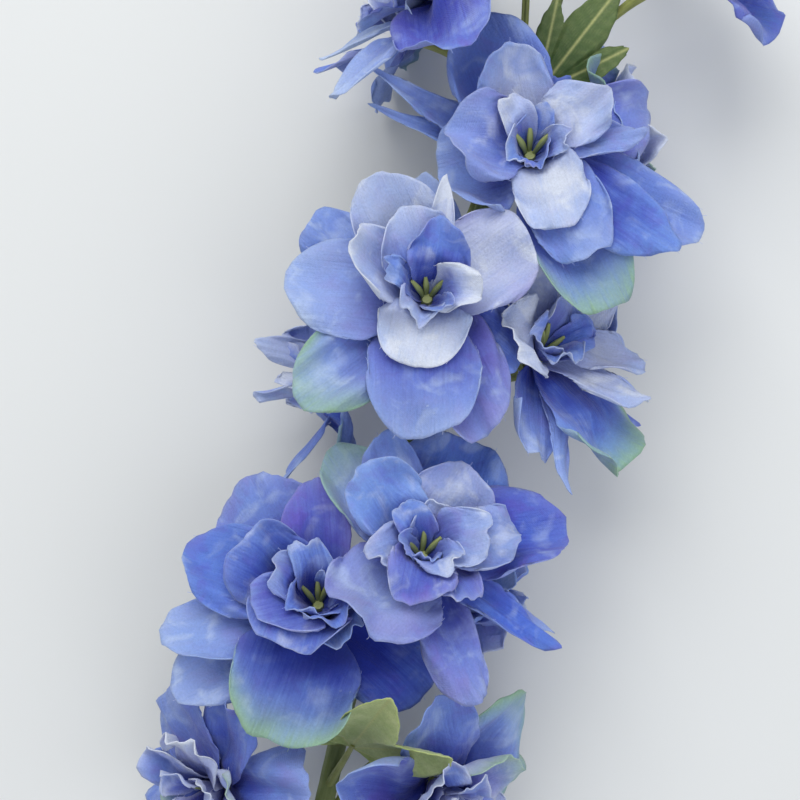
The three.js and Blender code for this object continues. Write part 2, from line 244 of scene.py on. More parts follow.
table_paint, _, _ = principled("matt_pale_table", Base_Color=srgb("e0e3e4"), Roughness=0.9)
TABLE_SIZE = 14000
corner = TABLE_SIZE / 2
table = mesh_object(
    "table",
    [(-corner, -corner, 0), (corner, -corner, 0), (corner, corner, 0), (-corner, corner, 0)],
    [(0, 1, 2, 3)],
    table_paint,
    smooth=False,
)

world = bpy.data.worlds.new("bright_room")
bpy.context.scene.world = world
world.use_nodes = True
sky = world.node_tree.nodes["Background"]
sky.inputs["Color"].default_value = srgb("f0f2f3")
sky.inputs["Strength"].default_value = 0.5


def soft_panel(name, place, size, watts, colour):
    """A square light panel that faces the middle of the spike."""
    data = bpy.data.lights.new(name, "AREA")
    data.shape = "SQUARE"
    data.size = size
    data.energy = watts
    data.color = srgb(colour)[:3]
    panel = bpy.data.objects.new(name, data)
    panel.location = place
    aim = Vector(place) - Vector((0, 0, 0.05))
    panel.rotation_euler = aim.to_track_quat("Z", "Y").to_euler()
    bpy.context.scene.collection.objects.link(panel)


soft_panel("window", (-0.5, 0.9, 1.15), 1.2, 17, "fffdf8")
soft_panel("bright_wall", (0.8, -0.3, 1.3), 1.5, 8, "f4f6ff")


# %% [markdown]
# ## Petal cloth
#
# The petals are polyester satin, woven, stiffened and dyed. That gives the eye a soft sheen with no
# highlight, a little light coming through, and dye that was brushed on from the edge or the heart, so that
# blue runs into lilac white, violet or a green tip in streaks along the threads. The mesh carries two colour
# attributes. The first holds how much white, violet and green there is and how far the deep blue of the heart
# reaches. The white along the cut edge is partly painted highlight, and the deep blue at the claw is partly
# painted shade. "place" holds where the point is across and along the petal, a chance value of the petal, and
# whether it is on its underside. The real threads are about 0.2 mm apart, too fine to show, so the weave is
# drawn at 0.5 mm.

# %% Material: dyed satin
WEAVE_SPACING = 0.5  # millimetres between threads as drawn
UNDERSIDE_PALER = 0.25  # white added on the underside, which the brush doesn't reach
STREAKS_ACROSS = 0.9  # dye streaks per millimetre across the petal
BLOTS, CLOUDS = 13.3, 10.5  # sizes of the patches where the dye took unevenly
CREASES, GRAIN = 9.09, 0.714  # sizes of the pressed folds and of the fuzz


def dyed_satin(name, light, mid, deep, pale, violet, green, sheen):
    """Satin whose blue runs from light to deep, with lilac white, violet and green dye over it; the deep blue is
    partly painted shade.
    """
    material, tree, shader = principled(
        name,
        Roughness=0.74,
        IOR=1.45,
        Specular_IOR_Level=0.32,
        Sheen_Weight=sheen,
        Sheen_Roughness=0.45,
        Subsurface_Weight=0.12,
        Subsurface_Scale=0.0012,
        Subsurface_Radius=(0.7, 0.8, 1.0),
    )
    dye_and_painted_light = add(tree, "ShaderNodeAttribute", {"attribute_name": "dye_and_painted_light"})
    amounts = add(tree, "ShaderNodeSeparateColor", n0=dye_and_painted_light.outputs["Color"])
    place = add(tree, "ShaderNodeAttribute", {"attribute_name": "place"})
    spot = add(tree, "ShaderNodeSeparateColor", n0=place.outputs["Color"])
    uv = add(tree, "ShaderNodeUVMap", {"uv_map": "cloth"})
    body = add(tree, "ShaderNodeTexCoord")

    # Streaks follow the petal: the same noise, stretched along it. Blots are round and larger.
    stretch = add(tree, "ShaderNodeMapping", n0=uv.outputs[0], Scale=(STREAKS_ACROSS, 0.06, 1))
    streak = add(tree, "ShaderNodeTexNoise", n0=stretch.outputs[0], Scale=1.0, Detail=3.0, Roughness=0.6)
    blot = add(tree, "ShaderNodeTexNoise", n0=body.outputs["Object"], Scale=noise_scale(BLOTS), Detail=3.0,
               Roughness=0.55)
    wander = add(tree, "ShaderNodeMath", {"operation": "SUBTRACT"}, n0=streak.outputs[0], n1=0.5)
    drift = add(tree, "ShaderNodeMath", {"operation": "SUBTRACT"}, n0=blot.outputs[0], n1=0.5)
    loose = add(tree, "ShaderNodeMath", {"operation": "MULTIPLY"}, n0=wander.outputs[0], n1=0.55)
    loose = add(tree, "ShaderNodeMath", {"operation": "MULTIPLY_ADD"}, n0=drift.outputs[0], n1=0.9,
                n2=loose.outputs[0])
    shifted = add(tree, "ShaderNodeMapping", n0=body.outputs["Object"], Location=(0.31, 0.17, 0.05))
    cloud = add(tree, "ShaderNodeTexNoise", n0=shifted.outputs[0], Scale=noise_scale(CLOUDS), Detail=2.5,
                Roughness=0.6, Distortion=0.6)
    wash = add(tree, "ShaderNodeMapRange", n0=cloud.outputs[0], n1=0.53, n2=0.7, n3=0.0, n4=0.4)
    wash = add(tree, "ShaderNodeMath", {"operation": "MULTIPLY_ADD"}, n0=place.outputs["Alpha"],
               n1=UNDERSIDE_PALER, n2=wash.outputs[0])
    stain = add(tree, "ShaderNodeMapRange", n0=cloud.outputs[0], n1=0.47, n2=0.3, n3=0.0, n4=0.45)

    def amount(socket, reach, extra):
        """A dye amount whose border wanders with the streaks, with some more where the dye ran."""
        moved = add(tree, "ShaderNodeMath", {"operation": "MULTIPLY_ADD"}, n0=loose.outputs[0], n1=reach,
                    n2=1.0)
        return add(tree, "ShaderNodeMath", {"operation": "MULTIPLY_ADD", "use_clamp": True}, n0=socket,
                   n1=moved.outputs[0], n2=extra).outputs[0]

    tone = add(tree, "ShaderNodeMath", {"operation": "MULTIPLY_ADD"}, n0=spot.outputs[2], n1=0.5, n2=0.25)
    tone = add(tree, "ShaderNodeMath", {"operation": "MULTIPLY_ADD", "use_clamp": True}, n0=loose.outputs[0],
               n1=1.3, n2=tone.outputs[0])
    colour = add(tree, "ShaderNodeMix", {"data_type": "RGBA"}, n0=tone.outputs[0], n6=srgb(light),
                 n7=srgb(mid))
    for factor, dye_colour in (
        (amount(amounts.outputs[1], 1.2, stain.outputs[0]), violet),
        (amount(amounts.outputs[0], 1.1, wash.outputs[0]), pale),
        (amount(amounts.outputs[2], 1.8, 0.0), green),
    ):
        colour = add(tree, "ShaderNodeMix", {"data_type": "RGBA"}, n0=factor, n6=colour.outputs[2],
                     n7=srgb(dye_colour))

    # Deep blue pools at the claw, except where the cloth was left white: partly dye and partly painted shade.
    base = add(tree, "ShaderNodeMath", {"operation": "MULTIPLY_ADD"}, n0=spot.outputs[1], n1=-1.75, n2=0.2)
    base = add(tree, "ShaderNodeMath", {"operation": "ADD"}, n0=base.outputs[0], n1=dye_and_painted_light.outputs["Alpha"])
    base = add(tree, "ShaderNodeMath", {"operation": "MULTIPLY_ADD", "use_clamp": True}, n0=loose.outputs[0],
               n1=1.1, n2=base.outputs[0])
    undyed = add(tree, "ShaderNodeMath", {"operation": "MULTIPLY_ADD", "use_clamp": True},
                 n0=amounts.outputs[0], n1=-1.1, n2=1.0)
    deep_and_shade_share = add(tree, "ShaderNodeMath", {"operation": "MULTIPLY"}, n0=base.outputs[0], n1=undyed.outputs[0])
    colour = add(tree, "ShaderNodeMix", {"data_type": "RGBA"}, n0=deep_and_shade_share.outputs[0], n6=colour.outputs[2],
                 n7=srgb(deep))

    # The weave: two crossed sets of ridges, which also darken the colour a little between the threads.
    thread = add(tree, "ShaderNodeMapping", n0=uv.outputs[0],
                 Scale=(1 / WEAVE_SPACING, 1 / WEAVE_SPACING, 1))
    parts = add(tree, "ShaderNodeSeparateXYZ", n0=thread.outputs[0])
    rows = []
    for k in (0, 1):
        phase = add(tree, "ShaderNodeMath", {"operation": "MULTIPLY"}, n0=parts.outputs[k], n1=math.tau)
        rows.append(add(tree, "ShaderNodeMath", {"operation": "SINE"}, n0=phase.outputs[0]).outputs[0])
    weave = add(tree, "ShaderNodeMath", {"operation": "MULTIPLY"}, n0=rows[0], n1=rows[1])
    grain = add(tree, "ShaderNodeTexNoise", n0=body.outputs["Object"], Scale=noise_scale(GRAIN), Detail=2.0,
                Roughness=0.6)
    cloth = add(tree, "ShaderNodeMath", {"operation": "MULTIPLY_ADD"}, n0=weave.outputs[0], n1=0.18,
                n2=grain.outputs[0])
    fleck = add(tree, "ShaderNodeMapRange", n0=cloth.outputs[0], n1=0.25, n2=0.8, n3=0.9, n4=1.08)
    toned = add(tree, "ShaderNodeHueSaturation", Value=fleck.outputs[0], Color=colour.outputs[2])
    tree.links.new(toned.outputs[0], shader.inputs["Base Color"])

    # Bump: threads and fuzz, streaks along the petal, and the sharp creases of pressed cloth.
    height = add(tree, "ShaderNodeMath", {"operation": "MULTIPLY_ADD"}, n0=streak.outputs[0], n1=2.2,
                 n2=cloth.outputs[0])
    crease = add(tree, "ShaderNodeTexNoise", {"noise_type": "RIDGED_MULTIFRACTAL"}, n0=body.outputs["Object"],
                 Scale=noise_scale(CREASES), Detail=2.0)
    height = add(tree, "ShaderNodeMath", {"operation": "MULTIPLY_ADD"}, n0=crease.outputs[0], n1=1.5,
                 n2=height.outputs[0])
    bump = add(tree, "ShaderNodeBump", Strength=0.65, Distance=0.0004, Height=height.outputs[0])
    tree.links.new(bump.outputs[0], shader.inputs["Normal"])
    return material


# The fourth colour of each cloth is the deep blue at the claw, partly dye and partly painted shade.
SATIN = {
    "sepal": dyed_satin("dyed_satin_outer", "729ae8", "3a62cc", "1b2f98", "b8caee", "6055c0", "92b69c", 0.18),
    "petal": dyed_satin("dyed_satin_inner", "82a6ea", "4a70d2", "2136a2", "d8e0f2", "6b62c8", "9abaa4", 0.2),
}
print("cloth materials:", [m.name for m in SATIN.values()])


# %% [markdown]
# ## The rule of a petal
#
# A petal is a flat shape with a narrow claw and an elliptical end. The hot mould gives it a bend along its
# middle line (lift at the claw, curl by the tip, nod at the very end), a cup across it, rolled edges, ruffles
# and fine ribs that fan out from the claw. Numpy works this out on a grid, because each of the florets'
# petals has its own pressing, and one array sum per petal is quicker than a tree of nodes for each. Where a
# low petal meets the table it lies flat on it.

# %% Petal surface
COLUMNS, ROWS = 27, 31  # the grid over one petal; an odd number of columns, so that one is its middle
SAMPLES = 40  # steps along a petal's middle line
CLOTH = 0.3  # thickness of the stiffened cloth, in millimetres
CLAW = 0.24  # width where the petal leaves its hub, as a share of its full width
PRESSING = {  # how a petal is cut, pressed and dyed, unless its row says otherwise
    "curl": -10, "nod": 0, "sway": 0, "twist": 0,  # bend along it, bend at its very end, bend aside, turn
    "cup": 34, "roll": (0, 0),  # bend across it, and how far its two edges roll in
    "end": 0.42, "point": 0, "notch": 0, "skew": 0, "slant": 0, "tatter": 0.12,  # outline
    "ruffle": 1.9, "ribs": 0.14, "pleat": 0, "flap": 0,  # rim waves, fine ribs, broad folds, lifted corner
    "pale": (0, 0, 0), "violet": (0.1, 0.25, 0.1),  # dye at claw, middle and tip
    "green": 0, "lace": 0.14, "deep": 1,  # green at the tip, white at the rim that is partly painted highlight, and how far deep blue dye and painted shade reach
    "rise": 0, "wild": 1,  # how far above its whorl it sits, and its share of the chance below
}
CHANCE = {  # how much a petal may differ from its row
    "twist": 11, "curl": 6, "nod": 14, "sway": 7, "skew": 0.1, "slant": 0.06, "cup": 9, "flap": 0.22,
}
CHANCE_LIMIT = 1.7  # in standard deviations


def middle_line(p, axis, out, base):
    """Points along the petal's middle, with the directions across it and out of its upper face."""
    s = np.linspace(0, 1, SAMPLES)
    rise = np.radians(p["lift"] + p["curl"] * s + p["nod"] * s**4)[:, None]
    sway = np.radians(p["sway"] * s**1.5)[:, None]
    flat = np.cos(sway) * out + np.sin(sway) * np.cross(axis, out)
    along = np.cos(rise) * flat + np.sin(rise) * axis
    face = np.cos(rise) * axis - np.sin(rise) * flat
    across = np.cross(face, along)
    steps = (along[1:] + along[:-1]) / 2 * p["length"] / (SAMPLES - 1)
    points = base + np.vstack([np.zeros(3), np.cumsum(steps, 0)])
    turn = np.radians(p["twist"] * s)[:, None]
    return s, points, np.cos(turn) * across + np.sin(turn) * face, np.cos(turn) * face - np.sin(turn) * across


def petal_grid(p, axis, out, base):
    """The petal's middle surface as a grid, with each point's place on the flat cloth and its u and v.

    u runs from -1 to 1 across the petal and v from 0 at the claw to 1 at the tip. x and z are the place across
    the petal and out of it, before it is bent along its middle line.
    """
    p = dict(p)
    for key, spread in CHANCE.items():
        p[key] += p["wild"] * spread * np.clip(rng.normal(), -CHANCE_LIMIT, CHANCE_LIMIT)
    u = np.sin(np.linspace(-1, 1, COLUMNS) * math.pi / 2)[None, :]
    v = np.linspace(0, 1, ROWS)[:, None]
    size = np.abs(u)
    phase = rng.uniform(0, math.tau, 10)
    ragged = rng.normal(0, p["tatter"], (2, max(COLUMNS, ROWS)))

    # The outline: an ellipse or a point at the end, a little lopsided, with a slow wave and a ragged cut.
    round_end = (1 - p["point"]) * np.sqrt(np.maximum(1 - u**2, 0)) + p["point"] * (1 - size) ** 1.25
    end = 1 - p["end"] * (1 - round_end) - p["notch"] / p["length"] * np.exp(-((u / 0.22) ** 2))
    end = end + p["slant"] * u + 0.018 * np.sin(5.3 * u + phase[5])
    end = end + ragged[0][None, :COLUMNS] * (1 - size**8) / p["length"]
    s = v * end + 0 * u
    widening = CLAW + (1 - CLAW) * np.sin(math.pi / 2 * np.minimum(v / 0.78, 1))
    half = p["width"] / 2 * widening * (1 - 0.5 * p["point"] * v**2) * (1 + p["skew"] * u)
    half = half * (1 + 0.035 * np.sin(8.5 * v + np.where(u > 0, phase[6], phase[7])))
    half = half + ragged[1][:ROWS, None] * v * size**6

    # Across the petal the cloth turns by an angle: even for the cup, and late for a rolled edge.
    late = np.maximum(size - 0.35, 0) ** 1.5 / 0.65**1.5
    roll = np.where(u > 0, p["roll"][1], -p["roll"][0]) * late * v
    turned = np.radians(p["cup"] * (1.2 - 0.5 * v) * u + roll)
    gaps = np.diff(u, axis=1)
    centre = COLUMNS // 2
    between = (turned[:, 1:] + turned[:, :-1]) / 2
    x = np.hstack([np.zeros((ROWS, 1)), np.cumsum(np.cos(between) * gaps, 1)])
    z = np.hstack([np.zeros((ROWS, 1)), np.cumsum(np.sin(between) * gaps, 1)])
    x = (x - x[:, centre : centre + 1]) * half
    z = (z - z[:, centre : centre + 1]) * half

    # One corner flaps up or down past a slanting line. Then come ruffles along the sides and over the end,
    # slow waves over the whole petal, fine ribs, the fold along the middle, broad pleats and a sharp crease.
    side = np.where(u > 0, phase[0], phase[1])
    ruffle = p["ruffle"] * min(1, p["width"] / 18) * rng.uniform(0.6, 1.4)
    corner = np.maximum(0, np.cos(phase[8]) * u + np.abs(np.sin(phase[8])) * (2 * v - 1) - 0.3)
    z = z + p["flap"] * p["width"] * v * corner**1.5
    z = z + ruffle * size**2 * v**1.3 * (np.sin(math.tau * 1.4 * v + side) + 0.4 * np.sin(19 * v + 2 * side))
    z = z + ruffle * v**4 * (0.8 * np.sin(math.pi * 1.7 * u + phase[2]) + 0.35 * np.sin(13 * u + phase[8]))
    z = z + 0.06 * p["width"] * v * np.sin(3.6 * u + 5.2 * v + phase[3])
    z = z + 0.03 * p["width"] * v * np.sin(6.1 * u - 4.0 * v + phase[4])
    z = z + p["ribs"] * np.cos(math.pi * 6 * u) * np.sin(math.pi * v) ** 0.6
    z = z - 0.5 * np.exp(-((u / 0.09) ** 2)) * np.sin(math.pi * np.minimum(v, 1)) ** 0.5
    z = z + p["pleat"] * np.cos(math.pi * 3.2 * u + 0.6) * np.sin(math.pi * v**1.4 * 0.8)
    z = z - 0.5 * v * np.abs(np.sin(2.1 * u + 2.6 * v + phase[9])) ** 0.7

    samples, points, across, face = middle_line(p, axis, out, base)

    def along_middle(values):
        return np.stack([np.interp(s, samples, values[:, k]) for k in range(3)], -1)

    grid = along_middle(points) + along_middle(across) * x[..., None] + along_middle(face) * z[..., None]
    return grid, x, s * p["length"], u + 0 * v, v + 0 * u


def three_way(amounts, v):
    """A dye amount that runs from claw to middle to tip."""
    return np.interp(v, [0, 0.5, 1], amounts)


# %% [markdown]
# A whorl is one piece of cloth, so its petals go into one mesh. Each petal becomes a closed shell as thick as
# the cloth: the grid twice, with a narrow band of faces round the rim. The petals are laid from the outermost
# in, and each is lifted where it would pass through those below it.

# %% Petals to whorl meshes
REACH = 80  # the height map reaches this far from the floret's axis, in cells of a millimetre
CLEARANCE = 0.8  # between two petals that lie on each other
DEEPEST = 7  # a petal that passes this far below another is left there
HELD, FREE = 4, 10  # the hub holds a petal this near to the axis, and past the second it lifts freely
LAYINGS = 2  # rounds of lifting
SPREADING = 10  # steps in which a lift is spread to the cloth round it
HUB_RADIUS = 1.6  # where a petal's claw leaves the hub
TABLE_GAP = 0.25  # from the table to the middle of the lowest cloth
LOWEST = 0.02  # no point of the cloth goes nearer to the table
CLAW_ROWS = 8  # rows at the claw whose edges don't fray
CUT_APART = 40  # petals are cut from places up to this far apart in the cloth
rim_points = []  # places, outward directions and dye on the cut edges, with its painted highlight and shade, for the loose threads


def shell(grid):
    """A closed shell round a grid: its points, first the under and then the upper ones, and its faces."""
    du = np.gradient(grid, axis=1)
    dv = np.gradient(grid, axis=0)
    normal = np.cross(du, dv)
    normal /= np.maximum(np.linalg.norm(normal, axis=-1, keepdims=True), 1e-9)
    rows, columns = grid.shape[:2]
    count = rows * columns
    half = normal * CLOTH / 2
    points = np.vstack([(grid + half).reshape(-1, 3), (grid - half).reshape(-1, 3)])
    points[:, 2] = np.maximum(points[:, 2], LOWEST)
    index = np.arange(count).reshape(rows, columns)
    under = np.stack([index[:-1, :-1], index[:-1, 1:], index[1:, 1:], index[1:, :-1]], -1).reshape(-1, 4)
    ring = np.concatenate([index[0], index[1:, -1], index[-1, -2::-1], index[-2:0:-1, 0]])
    following = np.roll(ring, -1)
    band = np.stack([ring, ring + count, following + count, following], -1)
    return points, np.vstack([under, under[:, ::-1] + count, band])


def denser(grid):
    """The grid with three points added between each two, both ways."""
    for axis in (0, 0, 1, 1):
        low = np.take(grid, range(grid.shape[axis] - 1), axis)
        high = np.take(grid, range(1, grid.shape[axis]), axis)
        shape = list(low.shape)
        shape[axis] *= 2
        grid = np.stack([low, (low + high) / 2], axis + 1).reshape(shape)
    return grid


def lay_over(grid, hub, seat, heights):
    """Lifts a petal where it would pass through the ones laid before it, and adds it to their heights.

    heights is the floret's height map: the highest cloth so far in each square millimetre round its axis.
    """
    local = (grid - hub) @ seat
    from_axis = np.hypot(local[..., 0], local[..., 1])
    spread = heights.copy()
    for step in ((1, 0), (-1, 0), (0, 1), (0, -1)) * 2:
        spread = np.maximum(spread, np.roll(spread, step, (0, 1)))
    cell = np.clip((local[..., :2] + REACH).astype(int), 0, 2 * REACH - 1)
    for _ in range(LAYINGS):
        need = spread[cell[..., 0], cell[..., 1]] + CLEARANCE - local[..., 2]
        need = np.clip(np.minimum(need, 2 * DEEPEST - need), 0, None)
        need = need * np.clip((from_axis - HELD) / (FREE - HELD), 0, 1)
        lift = need
        for _ in range(SPREADING):
            wide = np.pad(lift, 1, mode="edge")
            near = (wide[:-2, 1:-1] + wide[2:, 1:-1] + wide[1:-1, :-2] + wide[1:-1, 2:]) / 4
            lift = np.maximum(need, near)
        local[..., 2] += lift
    spots = denser(local).reshape(-1, 3)
    spots = spots[np.hypot(spots[:, 0], spots[:, 1]) > HELD + 1]
    cell = np.clip((spots[:, :2] + REACH).astype(int), 0, 2 * REACH - 1)
    np.maximum.at(heights, (cell[:, 0], cell[:, 1]), spots[:, 2])
    return local @ seat.T + hub


def whorl_object(name, material, petals, hub, step, axis, heights):
    """One whorl's mesh, step millimetres up the floret's axis from its hub.

    petals is a list of dictionaries that say how each petal differs from PRESSING. heights is the floret's
    height map, which its whorls share.
    """
    all_points, all_faces, all_uv, all_dye_and_painted_light, all_place = [], [], [], [], []
    seat = seat_of(axis)
    start = 0
    for given in petals:
        p = {**PRESSING, **given}
        angle = math.radians(p["turn"])
        out = seat @ np.array([math.cos(angle), math.sin(angle), 0])
        base = hub + out * HUB_RADIUS + axis * (step + p["rise"])
        grid, x, along, u, v = petal_grid(p, axis, out, base)
        grid = lay_over(grid, hub, seat, heights)
        grid[..., 2] = np.maximum(grid[..., 2], TABLE_GAP)
        points, faces = shell(grid)
        chance = rng.uniform()

        # White fades towards the sides but lines the cut edge, as partly painted highlight; violet grows towards
        # them, green is at the tip, and deep blue dye with painted shade reaches as far as its row says.
        edge = np.clip(np.maximum(np.abs(u) ** 5, v**9), 0, 1)
        pale = three_way(p["pale"], v) * (1 - 0.45 * np.abs(u) ** 3) + p["lace"] * edge
        violet = three_way(p["violet"], v) * (0.7 + 0.5 * np.abs(u))
        green = p["green"] * np.clip((v - 0.62) / 0.38, 0, 1) ** 1.4
        dye_and_painted_light = np.stack([pale, violet, green, p["deep"] + 0 * u], -1)

        # The alpha of "place" is one on the underside.
        place = np.stack([u * 0.5 + 0.5, v, chance + 0 * u, 0 * u], -1).reshape(-1, 4)
        uv = np.stack([x + CUT_APART * chance, along], -1).reshape(-1, 2)
        all_points.append(points)
        all_faces.append(faces + start)
        start += len(points)
        all_uv += [uv, uv]
        all_dye_and_painted_light += [dye_and_painted_light.reshape(-1, 4)] * 2
        all_place += [place + (0, 0, 0, 1), place]

        # The cut edges are the tip's row of points and the two sides, past the claw.
        beyond = np.gradient(grid, axis=0)
        aside = np.gradient(grid, axis=1) * np.sign(u)[..., None]
        rim_points.append((grid[-1], beyond[-1], dye_and_painted_light[-1]))
        for column in (0, -1):
            rim_points.append((grid[CLAW_ROWS:, column], aside[CLAW_ROWS:, column], dye_and_painted_light[CLAW_ROWS:, column]))
    piece = mesh_object(name, np.vstack(all_points), np.vstack(all_faces).tolist(), material)
    loops = np.zeros(len(piece.data.loops), int)
    piece.data.loops.foreach_get("vertex_index", loops)
    piece.data.uv_layers.new(name="cloth").data.foreach_set("uv", np.vstack(all_uv)[loops].ravel())
    store(piece, "dye_and_painted_light", np.vstack(all_dye_and_painted_light))
    store(piece, "place", np.vstack(all_place))
    return piece


# %% [markdown]
# ## The florets that face the viewer
#
# Each row is one petal: its turn round the floret's axis, its lift from the plane of the whorl, its length
# and its width, then how its pressing and its dye differ from the usual. Outer petals are broad and mid blue,
# the middle whorl is paler, and the heart is small, upright and curled round the pistil.

# %% Petal rows
def petal(turn, lift, length, width, **changes):
    """One row: degrees, degrees, millimetres, millimetres, and keys of PRESSING."""
    return {"turn": turn, "lift": lift, "length": length, "width": width, **changes}


# In these rows the white at the rim is partly painted highlight, and the deep blue at the claw partly painted
# shade.
OUTER = {  # the outer whorl of each floret by its number
    1: [
        petal(110, 6, 40, 24, pale=(0, 0.3, 0.6)),
        petal(347, 2, 33, 26, violet=(0.5, 0.4, 0.2)),
        petal(312, 3, 43, 27, curl=-4, violet=(0.5, 0.8, 0.7), pale=(0, 0.1, 0.3), rise=-0.8),
        petal(160, 9, 42, 25, curl=-12, pale=(0, 0.15, 0.25), violet=(0.3, 0.3, 0.1), rise=-0.6),
        petal(236, 3, 48, 28, curl=-2, pleat=1.3, wild=0.5, green=0.9, pale=(0, 0.25, 0.55), ribs=0.3),
        petal(283, 10, 41, 34, curl=-18, cup=4, ruffle=1.2, wild=0.3, violet=(0.5, 0.5, 0),
              pale=(0, 0.1, 0.5), rise=0.8),
        petal(190, 15, 42, 31, curl=-18, cup=-6, ruffle=1.2, wild=0.3, violet=(0.9, 0.5, 0.1),
              pale=(0, 0.4, 0.6), rise=1.0),
    ],
    2: [
        petal(80, 2, 31, 18, violet=(0.2, 0.3, 0.2)),
        petal(176, -3, 51, 8, point=0.7, curl=4, tatter=0.4, pale=(0, 0.2, 0.3)),
        petal(166, 4, 57, 13, point=0.8, curl=2, tatter=0.5, pale=(0, 0.2, 0.35), rise=0.5),
        petal(40, 12, 43, 27, curl=-10, violet=(0.2, 0.5, 0.6), pale=(0, 0.1, 0.25)),
        petal(353, 7, 56, 24, curl=-6, wild=0.6, pale=(0, 0.1, 0.3), rise=-0.8),
        petal(313, 3, 52, 30, green=0.9, curl=-6, wild=0.5, pale=(0, 0.1, 0.2), rise=-0.6),
        petal(340, 13, 52, 25, curl=-14, point=0.2, wild=0.5, violet=(0.5, 0.4, 0.1), deep=1.3, rise=0.5),
        petal(318, 13, 36, 27, curl=-14, pale=(0, 0.2, 0.3), rise=0.8),
        petal(205, 14, 27, 32, curl=-12, cup=8, wild=0.5, pale=(0.1, 0.3, 0.4), rise=0.6),
        petal(131, 20, 46, 33, cup=52, curl=4, wild=0.4, pale=(0, 0.1, 0.25), rise=1.0),
    ],
    3: [
        petal(282, -8, 32, 18, pale=(0, 0.2, 0.3)),
        petal(300, -6, 44, 9, point=0.3, pale=(0, 0.3, 0.4)),
        petal(350, 8, 42, 16, point=0.4, violet=(0.4, 0.6, 0.4), tatter=0.4),
        petal(326, 4, 43, 33, cup=16, green=0.95, curl=-6, wild=0.5, tatter=0.4, rise=0.5),
        petal(66, 26, 35, 28, pale=(0.4, 0.75, 0.5), curl=8),
        petal(168, 12, 27, 17, violet=(0.4, 0.5, 0.2)),
        petal(112, 18, 30, 20, violet=(0.3, 0.4, 0.2)),
    ],
    4: [
        petal(350, 0, 46, 10, point=0.6, pale=(0, 0.2, 0.4), rise=-0.8),
        petal(148, 15, 43, 24, curl=-6, green=0.8, pale=(0.1, 0.5, 0.6), rise=-0.6),
        petal(304, 6, 46, 18, curl=-14, violet=(0.3, 0.6, 0.6), pale=(0, 0.1, 0.3)),
        petal(343, 7, 49, 15, point=0.55, curl=-8, tatter=0.4, violet=(0.4, 0.2, 0.1)),
        petal(84, 13, 42, 37, curl=-2, wild=0.4, deep=1.3, violet=(0.1, 0.2, 0.1), rise=-0.4),
        petal(31, 14, 45, 31, curl=-10, violet=(0.2, 0.3, 0.5), rise=0.6, tatter=0.3),
        petal(128, 22, 40, 20, curl=-4, cup=46, pale=(0, 0.3, 0.2), rise=1.0),
        petal(246, 27, 33, 36, curl=-26, cup=12, ruffle=2.2, wild=0.4, pale=(0.1, 0.5, 0.35),
              violet=(0.3, 0.5, 0.8), rise=1.2),
    ],
    5: [
        petal(228, -6, 49, 25, curl=0, pale=(0, 0.35, 0.55), rise=-0.8),
        petal(342, 0, 42, 30, curl=-10, deep=1.7, violet=(0.6, 0.3, 0.2), rise=-1.4),
        petal(205, 3, 47, 24, curl=-8, pale=(0, 0.3, 0.5)),
        petal(136, 13, 45, 34, curl=-8, wild=0.6, violet=(0.4, 0.3, 0.5), pale=(0, 0.1, 0.2), tatter=0.35),
        petal(267, 9, 43, 39, curl=-27, cup=6, wild=0.4, deep=1.5, green=1.0, notch=2.5, pale=(0, 0.1, 0.3),
              rise=0.6),
        petal(176, 17, 43, 30, curl=-12, wild=0.6, violet=(0.4, 0.25, 0.1), rise=0.9),
    ],
    8: [
        petal(240, -8, 46, 10, curl=0, cup=16, wild=0.4, pale=(0, 0.4, 0.8)),
        petal(213, 0, 40, 8, curl=0, cup=16, wild=0.4, pale=(0.2, 0.8, 1)),
        petal(170, 8, 34, 20, violet=(0.2, 0.3, 0.2)),
        petal(30, 10, 34, 24),
        petal(90, 14, 34, 24, green=0.5),
        petal(345, 8, 32, 22, violet=(0.5, 0.5, 0.3)),
        petal(294, -10, 34, 33, curl=0, cup=44, wild=0.3, deep=1.25, violet=(1, 0.8, 0.5), rise=0.6),
    ],
    9: [
        petal(348, 20, 37, 44, curl=0, cup=20, wild=0.3, violet=(0.7, 0.5, 0.3)),
        petal(36, 16, 36, 26),
        petal(96, 14, 36, 26, violet=(0.3, 0.5, 0.2)),
        petal(158, 18, 34, 24, green=0.6),
        petal(230, 14, 34, 24, rise=0.6),
    ],
    10: [
        petal(15, 12, 28, 22),
        petal(85, 10, 32, 22, violet=(0.3, 0.5, 0.2)),
        petal(140, 12, 26, 17),
        petal(195, 12, 28, 18),
        petal(285, 38, 45, 8, cup=16, curl=0, wild=0.4, pale=(0, 0.2, 0.3)),
        petal(305, 10, 36, 20, green=0.5),
    ],
    11: [
        petal(345, 16, 34, 24, pale=(0, 0.4, 0.6)),
        petal(45, 12, 36, 25, pale=(0, 0.4, 0.6)),
        petal(105, 12, 36, 24),
        petal(165, 12, 34, 24, green=0.6),
        petal(215, 10, 32, 20, pale=(0, 0.2, 0.3)),
    ],
    13: [
        petal(72, 10, 33, 23, violet=(0.3, 0.5, 0.2)),
        petal(125, 12, 32, 23),
        petal(180, 12, 28, 20),
        petal(342, 14, 34, 24, green=0.5),
        petal(20, 12, 32, 22, rise=0.6),
        petal(290, 8, 30, 20, rise=0.6),
    ],
}
